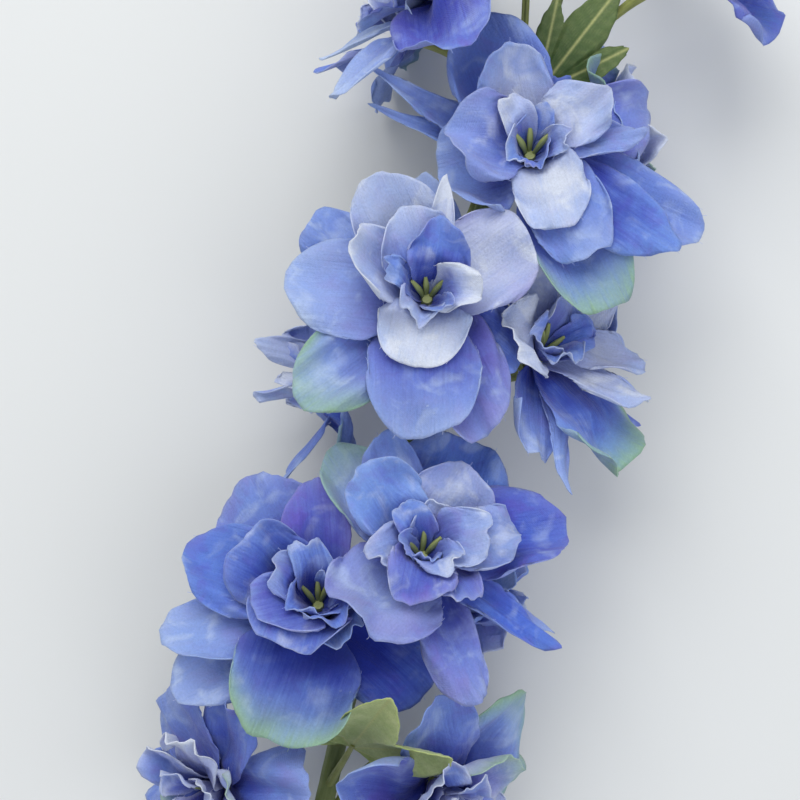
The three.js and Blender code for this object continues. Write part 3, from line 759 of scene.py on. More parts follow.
INNER = {  # the middle whorl
    1: [
        petal(133, 33, 41, 29, curl=-6, cup=44, wild=0.4, pale=(0.4, 0.75, 0.35), violet=(0, 0.15, 0.1),
              lace=0.3),
        petal(46, 35, 37, 32, curl=-14, cup=40, roll=(0, 60), wild=0.4, pale=(0.4, 0.8, 0.5),
              violet=(0.1, 0.3, 0.5)),
        petal(96, 40, 38, 9, cup=4, curl=-8, point=0.35, ruffle=0.8, wild=0.4, pale=(0.6, 0.9, 0.9),
              violet=(0, 0, 0), rise=3.0),
        petal(167, 42, 34, 21, curl=-14, cup=58, pale=(0.1, 0.3, 0.4), lace=0.5, rise=0.4),
        petal(277, 33, 22, 28, curl=-46, cup=10, end=0.6, ruffle=0.6, tatter=0.1, wild=0.3,
              pale=(0.5, 0.8, 0.9), violet=(0, 0, 0), rise=0.8),
    ],
    2: [
        petal(126, 36, 36, 26, cup=58, curl=8, wild=0.4, pale=(0.3, 0.7, 0.05)),
        petal(24, 30, 36, 15, cup=50, point=0.4, pale=(0, 0.2, 0.2)),
        petal(50, 38, 31, 19, curl=-12, pale=(0.3, 0.75, 0.45), violet=(0.1, 0.1, 0.1), rise=0.4),
        petal(304, 28, 26, 23, curl=-36, cup=20, wild=0.4, pale=(0.7, 0.85, 0.5), violet=(0, 0, 0), rise=0.5),
        petal(190, 42, 29, 29, curl=-8, cup=40, roll=(50, 0), pale=(0, 0.2, 0.2), wild=0.4, rise=0.8),
    ],
    3: [
        petal(75, 38, 31, 26, pale=(0.5, 0.95, 0.7), wild=0.5),
        petal(142, 44, 30, 17, pale=(0.3, 0.7, 0.6)),
        petal(330, 34, 38, 14, cup=20, wild=0.6, curl=-10, point=0.3, pale=(0.5, 0.6, 0.4), tatter=0.3),
        petal(5, 36, 34, 15, cup=24, wild=0.6, pale=(0.3, 0.7, 0.4), tatter=0.3),
        petal(212, 44, 27, 24, cup=24, curl=-20, pale=(0.4, 0.75, 0.6), lace=0.4, wild=0.6),
    ],
    4: [
        petal(318, 44, 26, 18, curl=-14, violet=(0.2, 0.5, 0.4), lace=0.25),
        petal(70, 36, 31, 27, cup=50, wild=0.4, curl=4, pale=(0.1, 0.5, 0.2), violet=(0.2, 0.4, 0.3)),
        petal(12, 38, 31, 18, curl=-8, pale=(0.1, 0.3, 0.2), rise=0.3),
        petal(152, 40, 35, 25, cup=44, wild=0.4, curl=-6, roll=(0, 40), violet=(0.1, 0.1, 0), rise=0.5),
        petal(212, 54, 22, 18, cup=60, curl=-20, lace=0.3, pale=(0, 0.1, 0.3), rise=0.8),
        petal(270, 46, 22, 24, cup=60, curl=-30, lace=0.2, deep=1.2, violet=(0.2, 0.6, 0.5), rise=1.0),
    ],
    5: [
        petal(108, 24, 38, 22, curl=2, cup=44, violet=(0.3, 0.7, 0.8), deep=1.2),
        petal(160, 34, 34, 28, cup=50, curl=8, violet=(0.4, 0.2, 0.1), deep=1.45, rise=0.3),
        petal(306, 56, 23, 22, cup=50, deep=1.45, lace=0.12, curl=-10, rise=0.5),
        petal(258, 56, 25, 32, cup=50, deep=1.45, lace=0.15, curl=-16, violet=(0.4, 0.4, 0.2), rise=0.8),
        petal(208, 52, 26, 24, cup=56, deep=1.45, lace=0.12, curl=-14, violet=(0.3, 0.5, 0.4), rise=1.0),
        petal(76, 56, 14, 12, cup=50, wild=0.4, rise=0.6),
    ],
    8: [
        petal(222, 40, 34, 15, pale=(0.3, 0.8, 0.9)),
        petal(262, 44, 30, 15, pale=(0.3, 0.7, 0.8)),
        petal(320, 44, 26, 17),
        petal(30, 44, 26, 16),
        petal(120, 44, 26, 16, pale=(0.2, 0.5, 0.5)),
    ],
    10: [
        petal(40, 62, 36, 9, cup=24, wild=0.5, curl=4, pale=(0, 0.3, 0.3)),
        petal(330, 66, 35, 8, cup=24, wild=0.5, curl=4, pale=(0, 0.2, 0.2)),
        petal(150, 48, 24, 15),
        petal(235, 48, 24, 15),
    ],
    11: [
        petal(15, 44, 25, 15, pale=(0.1, 0.5, 0.5)),
        petal(75, 44, 25, 15),
        petal(255, 38, 36, 9, cup=20, point=0.6, curl=0),
        petal(130, 42, 24, 15),
    ],
    13: [
        petal(60, 42, 24, 15),
        petal(132, 44, 24, 15),
        petal(254, 32, 40, 10, cup=20, point=0.4, curl=0),
        petal(0, 42, 24, 15, pale=(0.2, 0.5, 0.5)),
    ],
}
HEART = {  # the heart
    1: [
        petal(126, 50, 30, 23, cup=46, wild=0.5, pale=(0, 0.1, 0.55)),
        petal(92, 56, 29, 20, cup=46, curl=6, wild=0.5),
        petal(8, 68, 24, 14, cup=50, nod=-60, wild=0.5, pale=(0, 0.2, 1), lace=0.8),
        petal(180, 50, 19, 10, cup=60, curl=-10),
        petal(262, 62, 12, 15, cup=60, curl=-40, pale=(0.2, 0.3, 0.4), lace=0.25),
        petal(325, 66, 15, 10, cup=70, curl=-6, lace=0.3),
    ],
    2: [
        petal(90, 64, 15, 13, cup=60),
        petal(20, 62, 18, 10, cup=66, pale=(0, 0.2, 0.3)),
        petal(150, 60, 20, 12, cup=60, pale=(0, 0.4, 0.6), lace=0.25),
        petal(230, 64, 14, 12, cup=66, lace=0.5),
        petal(300, 66, 13, 11, cup=66),
    ],
    3: [
        petal(95, 58, 21, 16, cup=50, pale=(0, 0.2, 0.3)),
        petal(20, 60, 18, 13, cup=60),
        petal(300, 60, 14, 13, cup=60, lace=0.4),
        petal(230, 62, 14, 14, cup=60, lace=0.4),
    ],
    4: [
        petal(95, 60, 20, 15, cup=60, pale=(0, 0.2, 0.5)),
        petal(140, 62, 20, 13, cup=66),
        petal(20, 50, 25, 20, cup=62, curl=6, wild=0.5, pale=(0.1, 0.2, 0.35)),
        petal(325, 58, 18, 16, cup=66, pale=(0, 0.1, 0.3), lace=0.2),
        petal(275, 66, 12, 12, cup=70, lace=0.15),
        petal(215, 68, 14, 11, cup=70, lace=0.15),
    ],
    5: [
        petal(165, 50, 22, 18, deep=1.5, cup=50, curl=-6, pale=(0, 0, 0.3)),
        petal(110, 60, 21, 15, deep=1.5, cup=56),
        petal(70, 64, 11, 10, deep=1.5, cup=60, wild=0.4),
        petal(25, 60, 9, 9, deep=1.5, cup=60, wild=0.4, lace=0.25),
        petal(250, 64, 17, 20, deep=1.5, cup=50, curl=-14, lace=0.15),
        petal(310, 60, 17, 18, deep=1.5, cup=50, curl=-14, lace=0.15),
    ],
}
print("petals shaped by hand:", sum(len(rows) for table in (OUTER, INNER, HEART) for rows in table.values()))


# %% [markdown]
# The other florets are half hidden, or turned to the side or down. They follow a rule with a little chance in
# it.

# %% Petals by rule
def ring_of(count, first, lift, length, width, wobble, **changes):
    """count petals evenly round the axis, each a little different."""
    rows = []
    for k in range(count):
        row = petal(
            first + 360 * k / count + rng.uniform(-8, 8),
            lift + rng.uniform(-6, 6),
            length * rng.uniform(1 - wobble, 1 + wobble),
            width * rng.uniform(1 - wobble, 1 + wobble),
            rise=0.7 * (k % 2),
            **changes,
        )
        tint = rng.uniform(0, 0.6, 3)
        row.setdefault("violet", (0.2 + tint[0] * 0.5, 0.2 + tint[0], tint[1] * 0.6))
        row.setdefault("pale", (0, tint[2] * 0.5, tint[2] * 0.7))
        row.setdefault("green", 0.8 if rng.uniform() < 0.2 else 0)
        rows.append(row)
    return rows


def floret_rows(i):
    """The three whorls of floret i, counted from 1."""
    outer = OUTER.get(i) or ring_of(6, 20 + 31 * i, 12, 37, 26, 0.08, curl=-8)
    # The white at the rim of the inner and heart rings is partly painted highlight.
    inner = INNER.get(i) or ring_of(5, 50 + 31 * i, 40, 29, 19, 0.1, curl=-10, cup=46, lace=0.5)
    heart = HEART.get(i) or ring_of(5, 10 + 31 * i, 60, 19, 13, 0.12, cup=62, lace=0.5)
    return outer, inner, heart


# %% [markdown]
# On the real one each whorl has a hole in the middle, and the moulded stalk goes through all three. They are
# laid here from the outside in, and the floret's height map tells each petal what lies below it.

# %% Cut and thread the whorls
WHORL_STEP = 2.1  # from the outer whorl up to the inner one
WHORLS = [  # name, cloth, steps up the axis, slot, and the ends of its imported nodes' names
    ("outer_whorl", SATIN["sepal"], 0, "sepal_cloth", ["sepals"]),
    ("inner_whorl", SATIN["petal"], 1, "petal_cloth", ["petals"]),
    ("heart_whorl", SATIN["petal"], 1.5, "petal_cloth", []),
]
for i, hub in enumerate(hubs):
    axis = heading(*FLORET_AXES[i][:2])
    number = f"{i + 1:02d}"
    heights = np.full((2 * REACH, 2 * REACH), -np.inf)
    for petals, (name, cloth, steps, slot, ends) in zip(floret_rows(i + 1), WHORLS):
        whorl = whorl_object(f"{name}_{number}", cloth, petals, hub, WHORL_STEP * steps, axis, heights)
        fasten(whorl, slot, *[f"floret_{number}_{end}" for end in ends])
print("cut edges to fray:", sum(len(r[0]) for r in rim_points), "places")

# %% [markdown]
# ## Stem, stalks, pistils and buds
#
# These are moulded in soft plastic: long round shapes whose thickness changes along them, with faint ribs
# where the real plant has them. One Geometry Nodes tree makes them all. It takes centre lines with a radius
# at each point, evens out their steps, sweeps a circle along them and raises the ribs. It also keeps the
# place along and round the sweep, so that the plastic's colour can change from foot to tip.

# %% Geometry Nodes: a moulded rod
def new_tree(name, inputs):
    """A geometry tree with named inputs, given as (name, socket type, default)."""
    tree = bpy.data.node_groups.new(name, "GeometryNodeTree")
    tree.interface.new_socket("Geometry", in_out="INPUT", socket_type="NodeSocketGeometry")
    tree.interface.new_socket("Geometry", in_out="OUTPUT", socket_type="NodeSocketGeometry")
    for label, kind, default in inputs:
        socket = tree.interface.new_socket(label, in_out="INPUT", socket_type=kind)
        if default is not None:
            socket.default_value = default
    return tree, add(tree, "NodeGroupInput").outputs, add(tree, "NodeGroupOutput")


def run_tree(carrier, tree, name, **values):
    """Puts the tree on the carrier with these inputs, and returns the result as a plain mesh object."""
    modifier = carrier.modifiers.new(tree.name, "NODES")
    modifier.node_group = tree
    sockets = {item.name: item.identifier for item in tree.interface.items_tree if item.in_out == "INPUT"}
    for label, value in values.items():
        modifier[sockets[label.replace("_", " ")]] = value
    carrier.update_tag()
    bpy.context.view_layer.update()
    return plain_mesh(carrier, name)


LUMPS_APART = 6.25  # between the uneven places of a moulding


def moulded_rod_tree():
    """Centre lines with a radius at each point in, ribbed round rods out. Sizes are in metres."""
    tree, given, result = new_tree("moulded_rod", [
        ("Sides", "NodeSocketInt", 12),
        ("Step", "NodeSocketFloat", 0.002),
        ("Ribs", "NodeSocketInt", 5),
        ("Rib height", "NodeSocketFloat", 0.0001),
        ("Lumps", "NodeSocketFloat", 0.0001),
        ("Seed", "NodeSocketInt", 3),
        ("Material", "NodeSocketMaterial", None),
    ])
    even = add(tree, "GeometryNodeResampleCurve", {"mode": "LENGTH"}, Curve=given["Geometry"],
               Length=given["Step"])
    share = add(tree, "GeometryNodeSplineParameter")
    lines = add(tree, "GeometryNodeStoreNamedAttribute", {"data_type": "FLOAT", "domain": "POINT"},
                Geometry=even.outputs[0], Name="along", Value=share.outputs["Factor"])
    circle = add(tree, "GeometryNodeCurvePrimitiveCircle", Resolution=given["Sides"], Radius=1.0)
    section = add(tree, "GeometryNodeStoreNamedAttribute", {"data_type": "FLOAT", "domain": "POINT"},
                  Geometry=circle.outputs[0], Name="round", Value=share.outputs["Factor"])
    radius = add(tree, "GeometryNodeInputRadius")
    swept = add(tree, "GeometryNodeCurveToMesh", Curve=lines.outputs[0], Profile_Curve=section.outputs[0],
                Scale=radius.outputs[0], Fill_Caps=True)
    turn = add(tree, "GeometryNodeInputNamedAttribute", {"data_type": "FLOAT"}, Name="round")
    angle = add(tree, "ShaderNodeMath", {"operation": "MULTIPLY"}, n0=turn.outputs[0], n1=given["Ribs"])
    angle = add(tree, "ShaderNodeMath", {"operation": "MULTIPLY"}, n0=angle.outputs[0], n1=math.tau)
    wave = add(tree, "ShaderNodeMath", {"operation": "COSINE"}, n0=angle.outputs[0])
    rib = add(tree, "ShaderNodeMath", {"operation": "MULTIPLY"}, n0=wave.outputs[0], n1=given["Rib height"])
    lump = add(tree, "ShaderNodeTexNoise", {"noise_dimensions": "4D"}, W=given["Seed"],
               Scale=noise_scale(LUMPS_APART), Detail=1.0)
    lump = add(tree, "ShaderNodeMath", {"operation": "SUBTRACT"}, n0=lump.outputs[0], n1=0.5)
    rise = add(tree, "ShaderNodeMath", {"operation": "MULTIPLY_ADD"}, n0=lump.outputs[0], n1=given["Lumps"],
               n2=rib.outputs[0])
    normal = add(tree, "GeometryNodeInputNormal")
    push = add(tree, "ShaderNodeVectorMath", {"operation": "SCALE"}, n0=normal.outputs[0],
               Scale=rise.outputs[0])
    moved = add(tree, "GeometryNodeSetPosition", Geometry=swept.outputs[0], Offset=push.outputs[0])
    smooth = add(tree, "GeometryNodeSetShadeSmooth", Geometry=moved.outputs[0], Shade_Smooth=True)
    real = add(tree, "GeometryNodeRealizeInstances", Geometry=smooth.outputs[0])
    skin = add(tree, "GeometryNodeSetMaterial", Geometry=real.outputs[0], Material=given["Material"])
    tree.links.new(skin.outputs[0], result.inputs[0])
    return tree


MOULDED_ROD = moulded_rod_tree()
print("rod tree:", len(MOULDED_ROD.nodes), "nodes")


def centre_lines(name, lines):
    """A curve object whose splines are given as (points, radii), in millimetres."""
    curve = bpy.data.curves.new(name, "CURVE")
    curve.dimensions = "3D"
    for points, radii in lines:
        spline = curve.splines.new("POLY")
        spline.points.add(len(points) - 1)
        for spot, place, radius in zip(spline.points, points, radii):
            spot.co = (*(np.asarray(place) * MM), 1)
            spot.radius = radius * MM
    carrier = bpy.data.objects.new(name, curve)
    bpy.context.scene.collection.objects.link(carrier)
    return carrier


def smooth_through(points, steps=10):
    """A Catmull-Rom curve through the points."""
    p = np.vstack([2 * points[0] - points[1], points, 2 * points[-1] - points[-2]])
    t = np.linspace(0, 1, steps, endpoint=False)[:, None]
    spans = [
        0.5 * (2 * b + (c - a) * t + (2 * a - 5 * b + 4 * c - d) * t**2 + (3 * b - a - 3 * c + d) * t**3)
        for a, b, c, d in zip(p, p[1:], p[2:], p[3:])
    ]
    return np.vstack([*spans, points[-1]])


def bezier(controls, count):
    """A Bezier curve with these control points, of whatever degree they give."""
    t = np.linspace(0, 1, count)[:, None]
    rows = [np.asarray(c, float) + 0 * t for c in controls]
    while len(rows) > 1:
        rows = [a * (1 - t) + b * t for a, b in zip(rows, rows[1:])]
    return rows[0]


# %% [markdown]
# The plastics are polyethylene, moulded with a satin skin. That gives the eye a broad, dull highlight, a
# little light inside at thin places, and colour a shade uneven along the flow of the moulding. The stem is
# olive with a greyer bloom, the stalks are yellower, and the pistils are pale olive with a lighter tip.

# %% Material: satin moulded plastic
BLOOM = 5.26  # size of the patches of bloom on the plastic
FLOW_STREAKS = (26, 4, 1)  # streaks round a rod and along it


def moulded_plastic(name, foot, tip, shade, roughness):
    """Plastic that runs from its foot's colour to its tip's, with streaks of shade."""
    material, tree, shader = principled(
        name, Roughness=roughness, IOR=1.5, Specular_IOR_Level=0.4, Subsurface_Weight=0.15,
        Subsurface_Scale=0.001, Subsurface_Radius=(0.9, 1.0, 0.4))
    along = add(tree, "ShaderNodeAttribute", {"attribute_name": "along"})
    around = add(tree, "ShaderNodeAttribute", {"attribute_name": "round"})
    body = add(tree, "ShaderNodeTexCoord")
    blot = add(tree, "ShaderNodeTexNoise", n0=body.outputs["Object"], Scale=noise_scale(BLOOM), Detail=4.0,
               Roughness=0.6)
    joint = add(tree, "ShaderNodeCombineXYZ", n0=around.outputs["Fac"], n1=along.outputs["Fac"])
    stretch = add(tree, "ShaderNodeMapping", n0=joint.outputs[0], Scale=FLOW_STREAKS)
    streak = add(tree, "ShaderNodeTexNoise", n0=stretch.outputs[0], Scale=1.0, Detail=3.0)
    ends = add(tree, "ShaderNodeMix", {"data_type": "RGBA"}, n0=along.outputs["Fac"], n6=srgb(foot),
               n7=srgb(tip))
    share = add(tree, "ShaderNodeMath", {"operation": "MULTIPLY"}, n0=blot.outputs[0], n1=streak.outputs[0])
    share = add(tree, "ShaderNodeMapRange", n0=share.outputs[0], n1=0.16, n2=0.42, n3=0.0, n4=0.85)
    toned = add(tree, "ShaderNodeMix", {"data_type": "RGBA"}, n0=share.outputs[0], n6=ends.outputs[2],
                n7=srgb(shade))
    tree.links.new(toned.outputs[2], shader.inputs["Base Color"])
    rough = add(tree, "ShaderNodeMapRange", n0=blot.outputs[0], n3=roughness - 0.12, n4=roughness + 0.16)
    tree.links.new(rough.outputs[0], shader.inputs["Roughness"])
    bump = add(tree, "ShaderNodeBump", Strength=0.4, Distance=0.0003, Height=share.outputs[0])
    tree.links.new(bump.outputs[0], shader.inputs["Normal"])
    return material


STEM_PLASTIC = moulded_plastic("satin_polyethylene_stem", "79854a", "7d8a52", "5d6b38", 0.5)
STALK_PLASTIC = moulded_plastic("satin_polyethylene_stalk", "7f8848", "a0a55a", "68743a", 0.45)
PISTIL_PLASTIC = moulded_plastic("satin_polyethylene_pistil", "74823f", "b9c27c", "87934e", 0.42)
print("plastics:", [m.name for m in (STEM_PLASTIC, STALK_PLASTIC, PISTIL_PLASTIC)])


# %% Stem and stalks
# A bud's row: the stem's Y where it leaves, its bearing and pitch, how far its stalk reaches, its length and
# its radius.
TIP_BUDS = [  # moulded in one with the stem
    (190, 40, 40, 9, 10.5, 3.6),
    (200, 165, 5, 8, 9.5, 3.2),
    (210, 10, 10, 7, 8.5, 2.9),
    (217, 120, 60, 5, 8, 2.6),
    (226, 90, -5, 1, 10, 3),
]
BUDS = [  # on stalks of their own
    (98, 106, 16, 50, 17, 6.2),
    (158, 60, 62, 22, 15, 5.4),
    (172, 25, 5, 20, 13.5, 4.8),
    (184, 150, 20, 17, 12, 4.2),
]
ROOTED = 0.6  # a stalk starts inside the stem, at this share of the stem's radius
BUD_STALK_RADIUS = 0.9
STALK_RADIUS = 1.5
CALYX_RADIUS = 4.2
COLLAR, JOINT = 0.9, 0.35  # how far a stalk swells at its root, and at the joint along it
STALK_END = 1.05  # the stalk ends this far behind its hub's centre
STALK_POINTS = 40
stem_points = smooth_through(stem_line)
stem_y = stem_points[:, 1]
stem_share = (stem_y - stem_y[0]) / (stem_y[-1] - stem_y[0])
stem_radii = STEM_FOOT_RADIUS + (STEM_TIP_RADIUS - STEM_FOOT_RADIUS) * stem_share**1.15


def stem_at(y):
    """The stem's centre and radius at a Y position of the drawn line."""
    spot = [np.interp(y + shift[1], stem_y, stem_points[:, k]) for k in range(3)]
    return np.array(spot), np.interp(y + shift[1], stem_y, stem_radii)


def bud_line(root, bearing, pitch, reach, length, radius, lead, clear):
    """A bud's centre line and radii: a thin stalk that swells at its end.

    It leaves the stem clear millimetres out from its middle, and bends lead millimetres up along it.
    """
    way = heading(bearing, pitch)
    outward = unit(way * (1, 0, 1))
    start = stem_at(root)[0] + outward * clear
    ahead = np.array((0, lead, 0))
    points = bezier([start, start + ahead, start + way * (reach + length) + ahead], STALK_POINTS)
    steps = np.linalg.norm(np.diff(points, axis=0), axis=1)
    behind = steps.sum() - np.concatenate([[0], np.cumsum(steps)])
    into = np.clip(1 - behind / length, 0, 1)
    swell = np.abs(np.sin(math.pi * into**0.8)) ** 0.8 * (1 - 0.25 * into)
    return points, BUD_STALK_RADIUS + (radius - BUD_STALK_RADIUS) * swell


stem_radii[-1] = 0.3  # closes the tip
lines = [(stem_points, stem_radii)] + [bud_line(*row, lead=5, clear=0) for row in TIP_BUDS]
stem = run_tree(centre_lines("stem_line", lines), MOULDED_ROD, "main_stem_moulding", Sides=24, Step=0.0025,
                Ribs=6, Rib_height=0.00013, Lumps=0.0006, Material=STEM_PLASTIC)
fasten(stem, "stem_plastic", "main_stem")

for i, (bearing, pitch, root) in enumerate(FLORET_AXES):
    axis = heading(bearing, pitch)
    centre, stem_radius = stem_at(root)
    end = hubs[i] - axis * STALK_END
    span = np.linalg.norm(end - centre)
    outward = unit((end - centre) * (1, 0, 1))
    start = centre + outward * (stem_radius * ROOTED)
    points = bezier([start, start + (0, span * 0.45, 0), end - axis * span * 0.42, end], STALK_POINTS)
    share = np.linspace(0, 1, STALK_POINTS)
    radii = STALK_RADIUS + (CALYX_RADIUS - STALK_RADIUS) * np.clip((share - 0.8) / 0.2, 0, 1) ** 1.5
    radii = radii + COLLAR * np.exp(-((share / 0.05) ** 2)) + JOINT * np.exp(-(((share - 0.55) / 0.02) ** 2))
    stalk = run_tree(centre_lines("stalk_line", [(points, radii)]), MOULDED_ROD, f"stalk_{i + 1:02d}",
                     Sides=18, Step=0.0012, Ribs=5, Rib_height=0.00012, Lumps=0.0005, Seed=i,
                     Material=STALK_PLASTIC)
    fasten(stalk, "stalk_plastic", f"floret_{i + 1:02d}_stalk")
print("stem:", len(stem.data.polygons), "faces; last stalk:", len(stalk.data.polygons))

# %% [markdown]
# A pistil is one moulding that plugs the whorls on their stalk: a short round foot, and three blunt prongs for
# the flower's seed pods. Each prong is turned and stretched a little by chance.

# %% Pistils
PISTIL_GAP = 0.4  # from the inner whorl's hub to the foot
PISTIL_FOOT = 3.2  # height of the foot
FOOT_RADII = (2.5, 1.5)  # at its bottom and its top
PRONG_TURNS = (58, 112, 168)  # the three prongs fan out to one side
PRONG = np.array([[0, 0.5, 0], [1.0, 0.75, 4.2], [2.6, 0.9, 7.6], [4.8, 0.5, 10.8]])  # out, radius, up
for i, (bearing, pitch, _) in enumerate(FLORET_AXES):
    axis = heading(bearing, pitch)
    seat = seat_of(axis)
    base = hubs[i] + axis * (WHORL_STEP + PISTIL_GAP)
    foot_line = bezier([base, base + axis * PISTIL_FOOT / 2, base + axis * PISTIL_FOOT], 8)
    lines = [(foot_line, np.linspace(*FOOT_RADII, 8))]
    for turn in PRONG_TURNS:
        angle = math.radians(turn + rng.uniform(-14, 14))
        out = seat @ np.array([math.cos(angle), math.sin(angle), 0])
        stretch = rng.uniform(0.85, 1.1)
        profile = smooth_through(PRONG, 6)
        spots = base + out * (1 + profile[:, :1] * stretch) + axis * profile[:, 2:] * stretch
        lines.append((spots, profile[:, 1]))
    pistil = run_tree(centre_lines("pistil_lines", lines), MOULDED_ROD, f"pistil_{i + 1:02d}", Sides=12,
                      Step=0.0005, Ribs=3, Rib_height=0.00009, Lumps=0.0003, Seed=i, Material=PISTIL_PLASTIC)
    fasten(pistil, "pistil_plastic", f"floret_{i + 1:02d}_pistil")
print("last pistil:", len(pistil.data.polygons), "faces")

# %% [markdown]
# A closed bud is five sepals wrapped over a core. From outside that is a ribbed egg, so the same rod makes
# it. Its cloth is the petals' satin, pulled tight: green at the foot where it meets its stalk and blue
# towards the tip, with the border drawn out in streaks along the folds.

# %% Buds
PATCHES = 3.85  # size of the darker and lighter patches
FOLD_STREAKS = (30, 5, 1)  # streaks round a bud and along it


def bud_cloth():
    """Satin that runs from stalk green to blue."""
    material, tree, shader = principled("pressed_satin_bud", Roughness=0.75, Sheen_Weight=0.2, IOR=1.45)
    along = add(tree, "ShaderNodeAttribute", {"attribute_name": "along"})
    around = add(tree, "ShaderNodeAttribute", {"attribute_name": "round"})
    body = add(tree, "ShaderNodeTexCoord")
    blot = add(tree, "ShaderNodeTexNoise", n0=body.outputs["Object"], Scale=noise_scale(PATCHES), Detail=3.0)
    joint = add(tree, "ShaderNodeCombineXYZ", n0=around.outputs["Fac"], n1=along.outputs["Fac"])
    stretch = add(tree, "ShaderNodeMapping", n0=joint.outputs[0], Scale=FOLD_STREAKS)
    streak = add(tree, "ShaderNodeTexNoise", n0=stretch.outputs[0], Scale=1.0, Detail=3.0)
    place = add(tree, "ShaderNodeMath", {"operation": "MULTIPLY_ADD"}, n0=streak.outputs[0], n1=0.16,
                n2=along.outputs["Fac"])
    ramp = add(tree, "ShaderNodeValToRGB", Fac=place.outputs[0])
    stops = ramp.color_ramp.elements
    stops[0].position, stops[0].color = 0.62, srgb("8a9150")
    stops[1].position, stops[1].color = 0.98, srgb("4f65c2")
    for position, code in ((0.74, "8d9c6c"), (0.86, "6a80c8")):
        stops.new(position).color = srgb(code)
    toned = add(tree, "ShaderNodeHueSaturation", Color=ramp.outputs[0])
    value = add(tree, "ShaderNodeMapRange", n0=blot.outputs[0], n3=0.8, n4=1.15)
    tree.links.new(value.outputs[0], toned.inputs["Value"])
    tree.links.new(toned.outputs[0], shader.inputs["Base Color"])
    bump = add(tree, "ShaderNodeBump", Strength=0.4, Distance=0.0003, Height=streak.outputs[0])
    tree.links.new(bump.outputs[0], shader.inputs["Normal"])
    return material


BUD_SATIN = bud_cloth()
for i, row in enumerate(BUDS):
    line = bud_line(*row, lead=13, clear=stem_at(row[0])[1] * ROOTED)
    bud = run_tree(centre_lines("bud_line", [line]), MOULDED_ROD, f"bud_wrapped_{i + 1:02d}", Sides=30,
                   Step=0.0008, Ribs=5, Rib_height=0.00035, Lumps=0.0009, Seed=i, Material=BUD_SATIN)
    fasten(bud, "bud_cloth", f"bud_{i + 1:02d}")
print("last bud:", len(bud.data.polygons), "faces")

# %% [markdown]
# ## Leaves
#
# A leaf is one piece of green cloth with three or five pointed, toothed lobes, pressed so that a vein runs up
# each lobe and the halves fold a little along it. It is drawn on a fan of rays from its neck, and its stalk
# is the same moulded rod as the others. The cloth is woven cotton, dyed and pressed hot, which gives the eye
# a dull leaf green, pale along the veins, with a fine grain.

# %% Material: pressed leaf cloth
LEAF_PATCHES, LEAF_GRAIN = 8.33, 0.667  # sizes of the patches in the dye and of the cloth's grain


def pressed_leaf():
    """Green cloth, with veins and dark places where the mesh's "place" attribute says."""
    material, tree, shader = principled("pressed_leaf_cloth", Roughness=0.6, IOR=1.45, Sheen_Weight=0.15,
                                        Subsurface_Weight=0.15, Subsurface_Scale=0.001,
                                        Subsurface_Radius=(0.8, 1.0, 0.3))
    place = add(tree, "ShaderNodeAttribute", {"attribute_name": "place"})
    spot = add(tree, "ShaderNodeSeparateColor", n0=place.outputs["Color"])
    body = add(tree, "ShaderNodeTexCoord")
    blot = add(tree, "ShaderNodeTexNoise", n0=body.outputs["Object"], Scale=noise_scale(LEAF_PATCHES),
               Detail=4.0, Roughness=0.6)
    grain = add(tree, "ShaderNodeTexNoise", n0=body.outputs["Object"], Scale=noise_scale(LEAF_GRAIN),
                Detail=2.0)
    low = add(tree, "ShaderNodeMapRange", n0=blot.outputs[0], n1=0.3, n2=0.7)
    colour = add(tree, "ShaderNodeMix", {"data_type": "RGBA"}, n0=low.outputs[0], n6=srgb("93a862"),
                 n7=srgb("bfc98e"))
    dark = add(tree, "ShaderNodeMix", {"data_type": "RGBA"}, n0=spot.outputs[2], n6=colour.outputs[2],
               n7=srgb("3f5a26"))
    veined = add(tree, "ShaderNodeMix", {"data_type": "RGBA"}, n0=spot.outputs[0], n6=dark.outputs[2],
                 n7=srgb("b4b878"))
    fleck = add(tree, "ShaderNodeMapRange", n0=grain.outputs[0], n1=0.3, n2=0.7, n3=0.88, n4=1.08)
    toned = add(tree, "ShaderNodeHueSaturation", Value=fleck.outputs[0], Color=veined.outputs[2])
    tree.links.new(toned.outputs[0], shader.inputs["Base Color"])
    bump = add(tree, "ShaderNodeBump", Strength=0.4, Distance=0.0003, Height=grain.outputs[0])
    tree.links.new(bump.outputs[0], shader.inputs["Normal"])
    return material


LEAF_CLOTH = pressed_leaf()
print("leaf cloth:", LEAF_CLOTH.name)

# %% Leaf blades
LEAF_STALK_RADII = (1.5, 0.8)  # at the stem and at the blade
LEAVES = [  # stem's Y, bearing, pitch, stalk, darkness, bow, and lobes as (turn, length, half angle)
    (-125, 80, 52, 26, 0.0, 3.0, [(-3, 46, 30), (40, 18, 20), (-44, 42, 34), (80, 18, 18), (-80, 20, 19)]),
    (-176, 228, -2, 24, 0.25, -3.2, [(0, 40, 32), (40, 33, 26), (-40, 33, 26), (78, 20, 18), (-78, 20, 18)]),
    (94, 68, 8, 9, 0.85, -3.2, [(0, 44, 24), (26, 32, 20), (-26, 34, 20)]),
]
RAYS, RINGS = 141, 22  # the grid over one leaf
TEETH, TEETH_PER_LOBE = 0.9, 4.2  # how far the teeth stand out, and how many there are on half a lobe
RIBS, RIB_SPACING = 0.14, 4.2  # height of the side veins and the distance between them
VEIN = 0.45  # half width of a middle vein


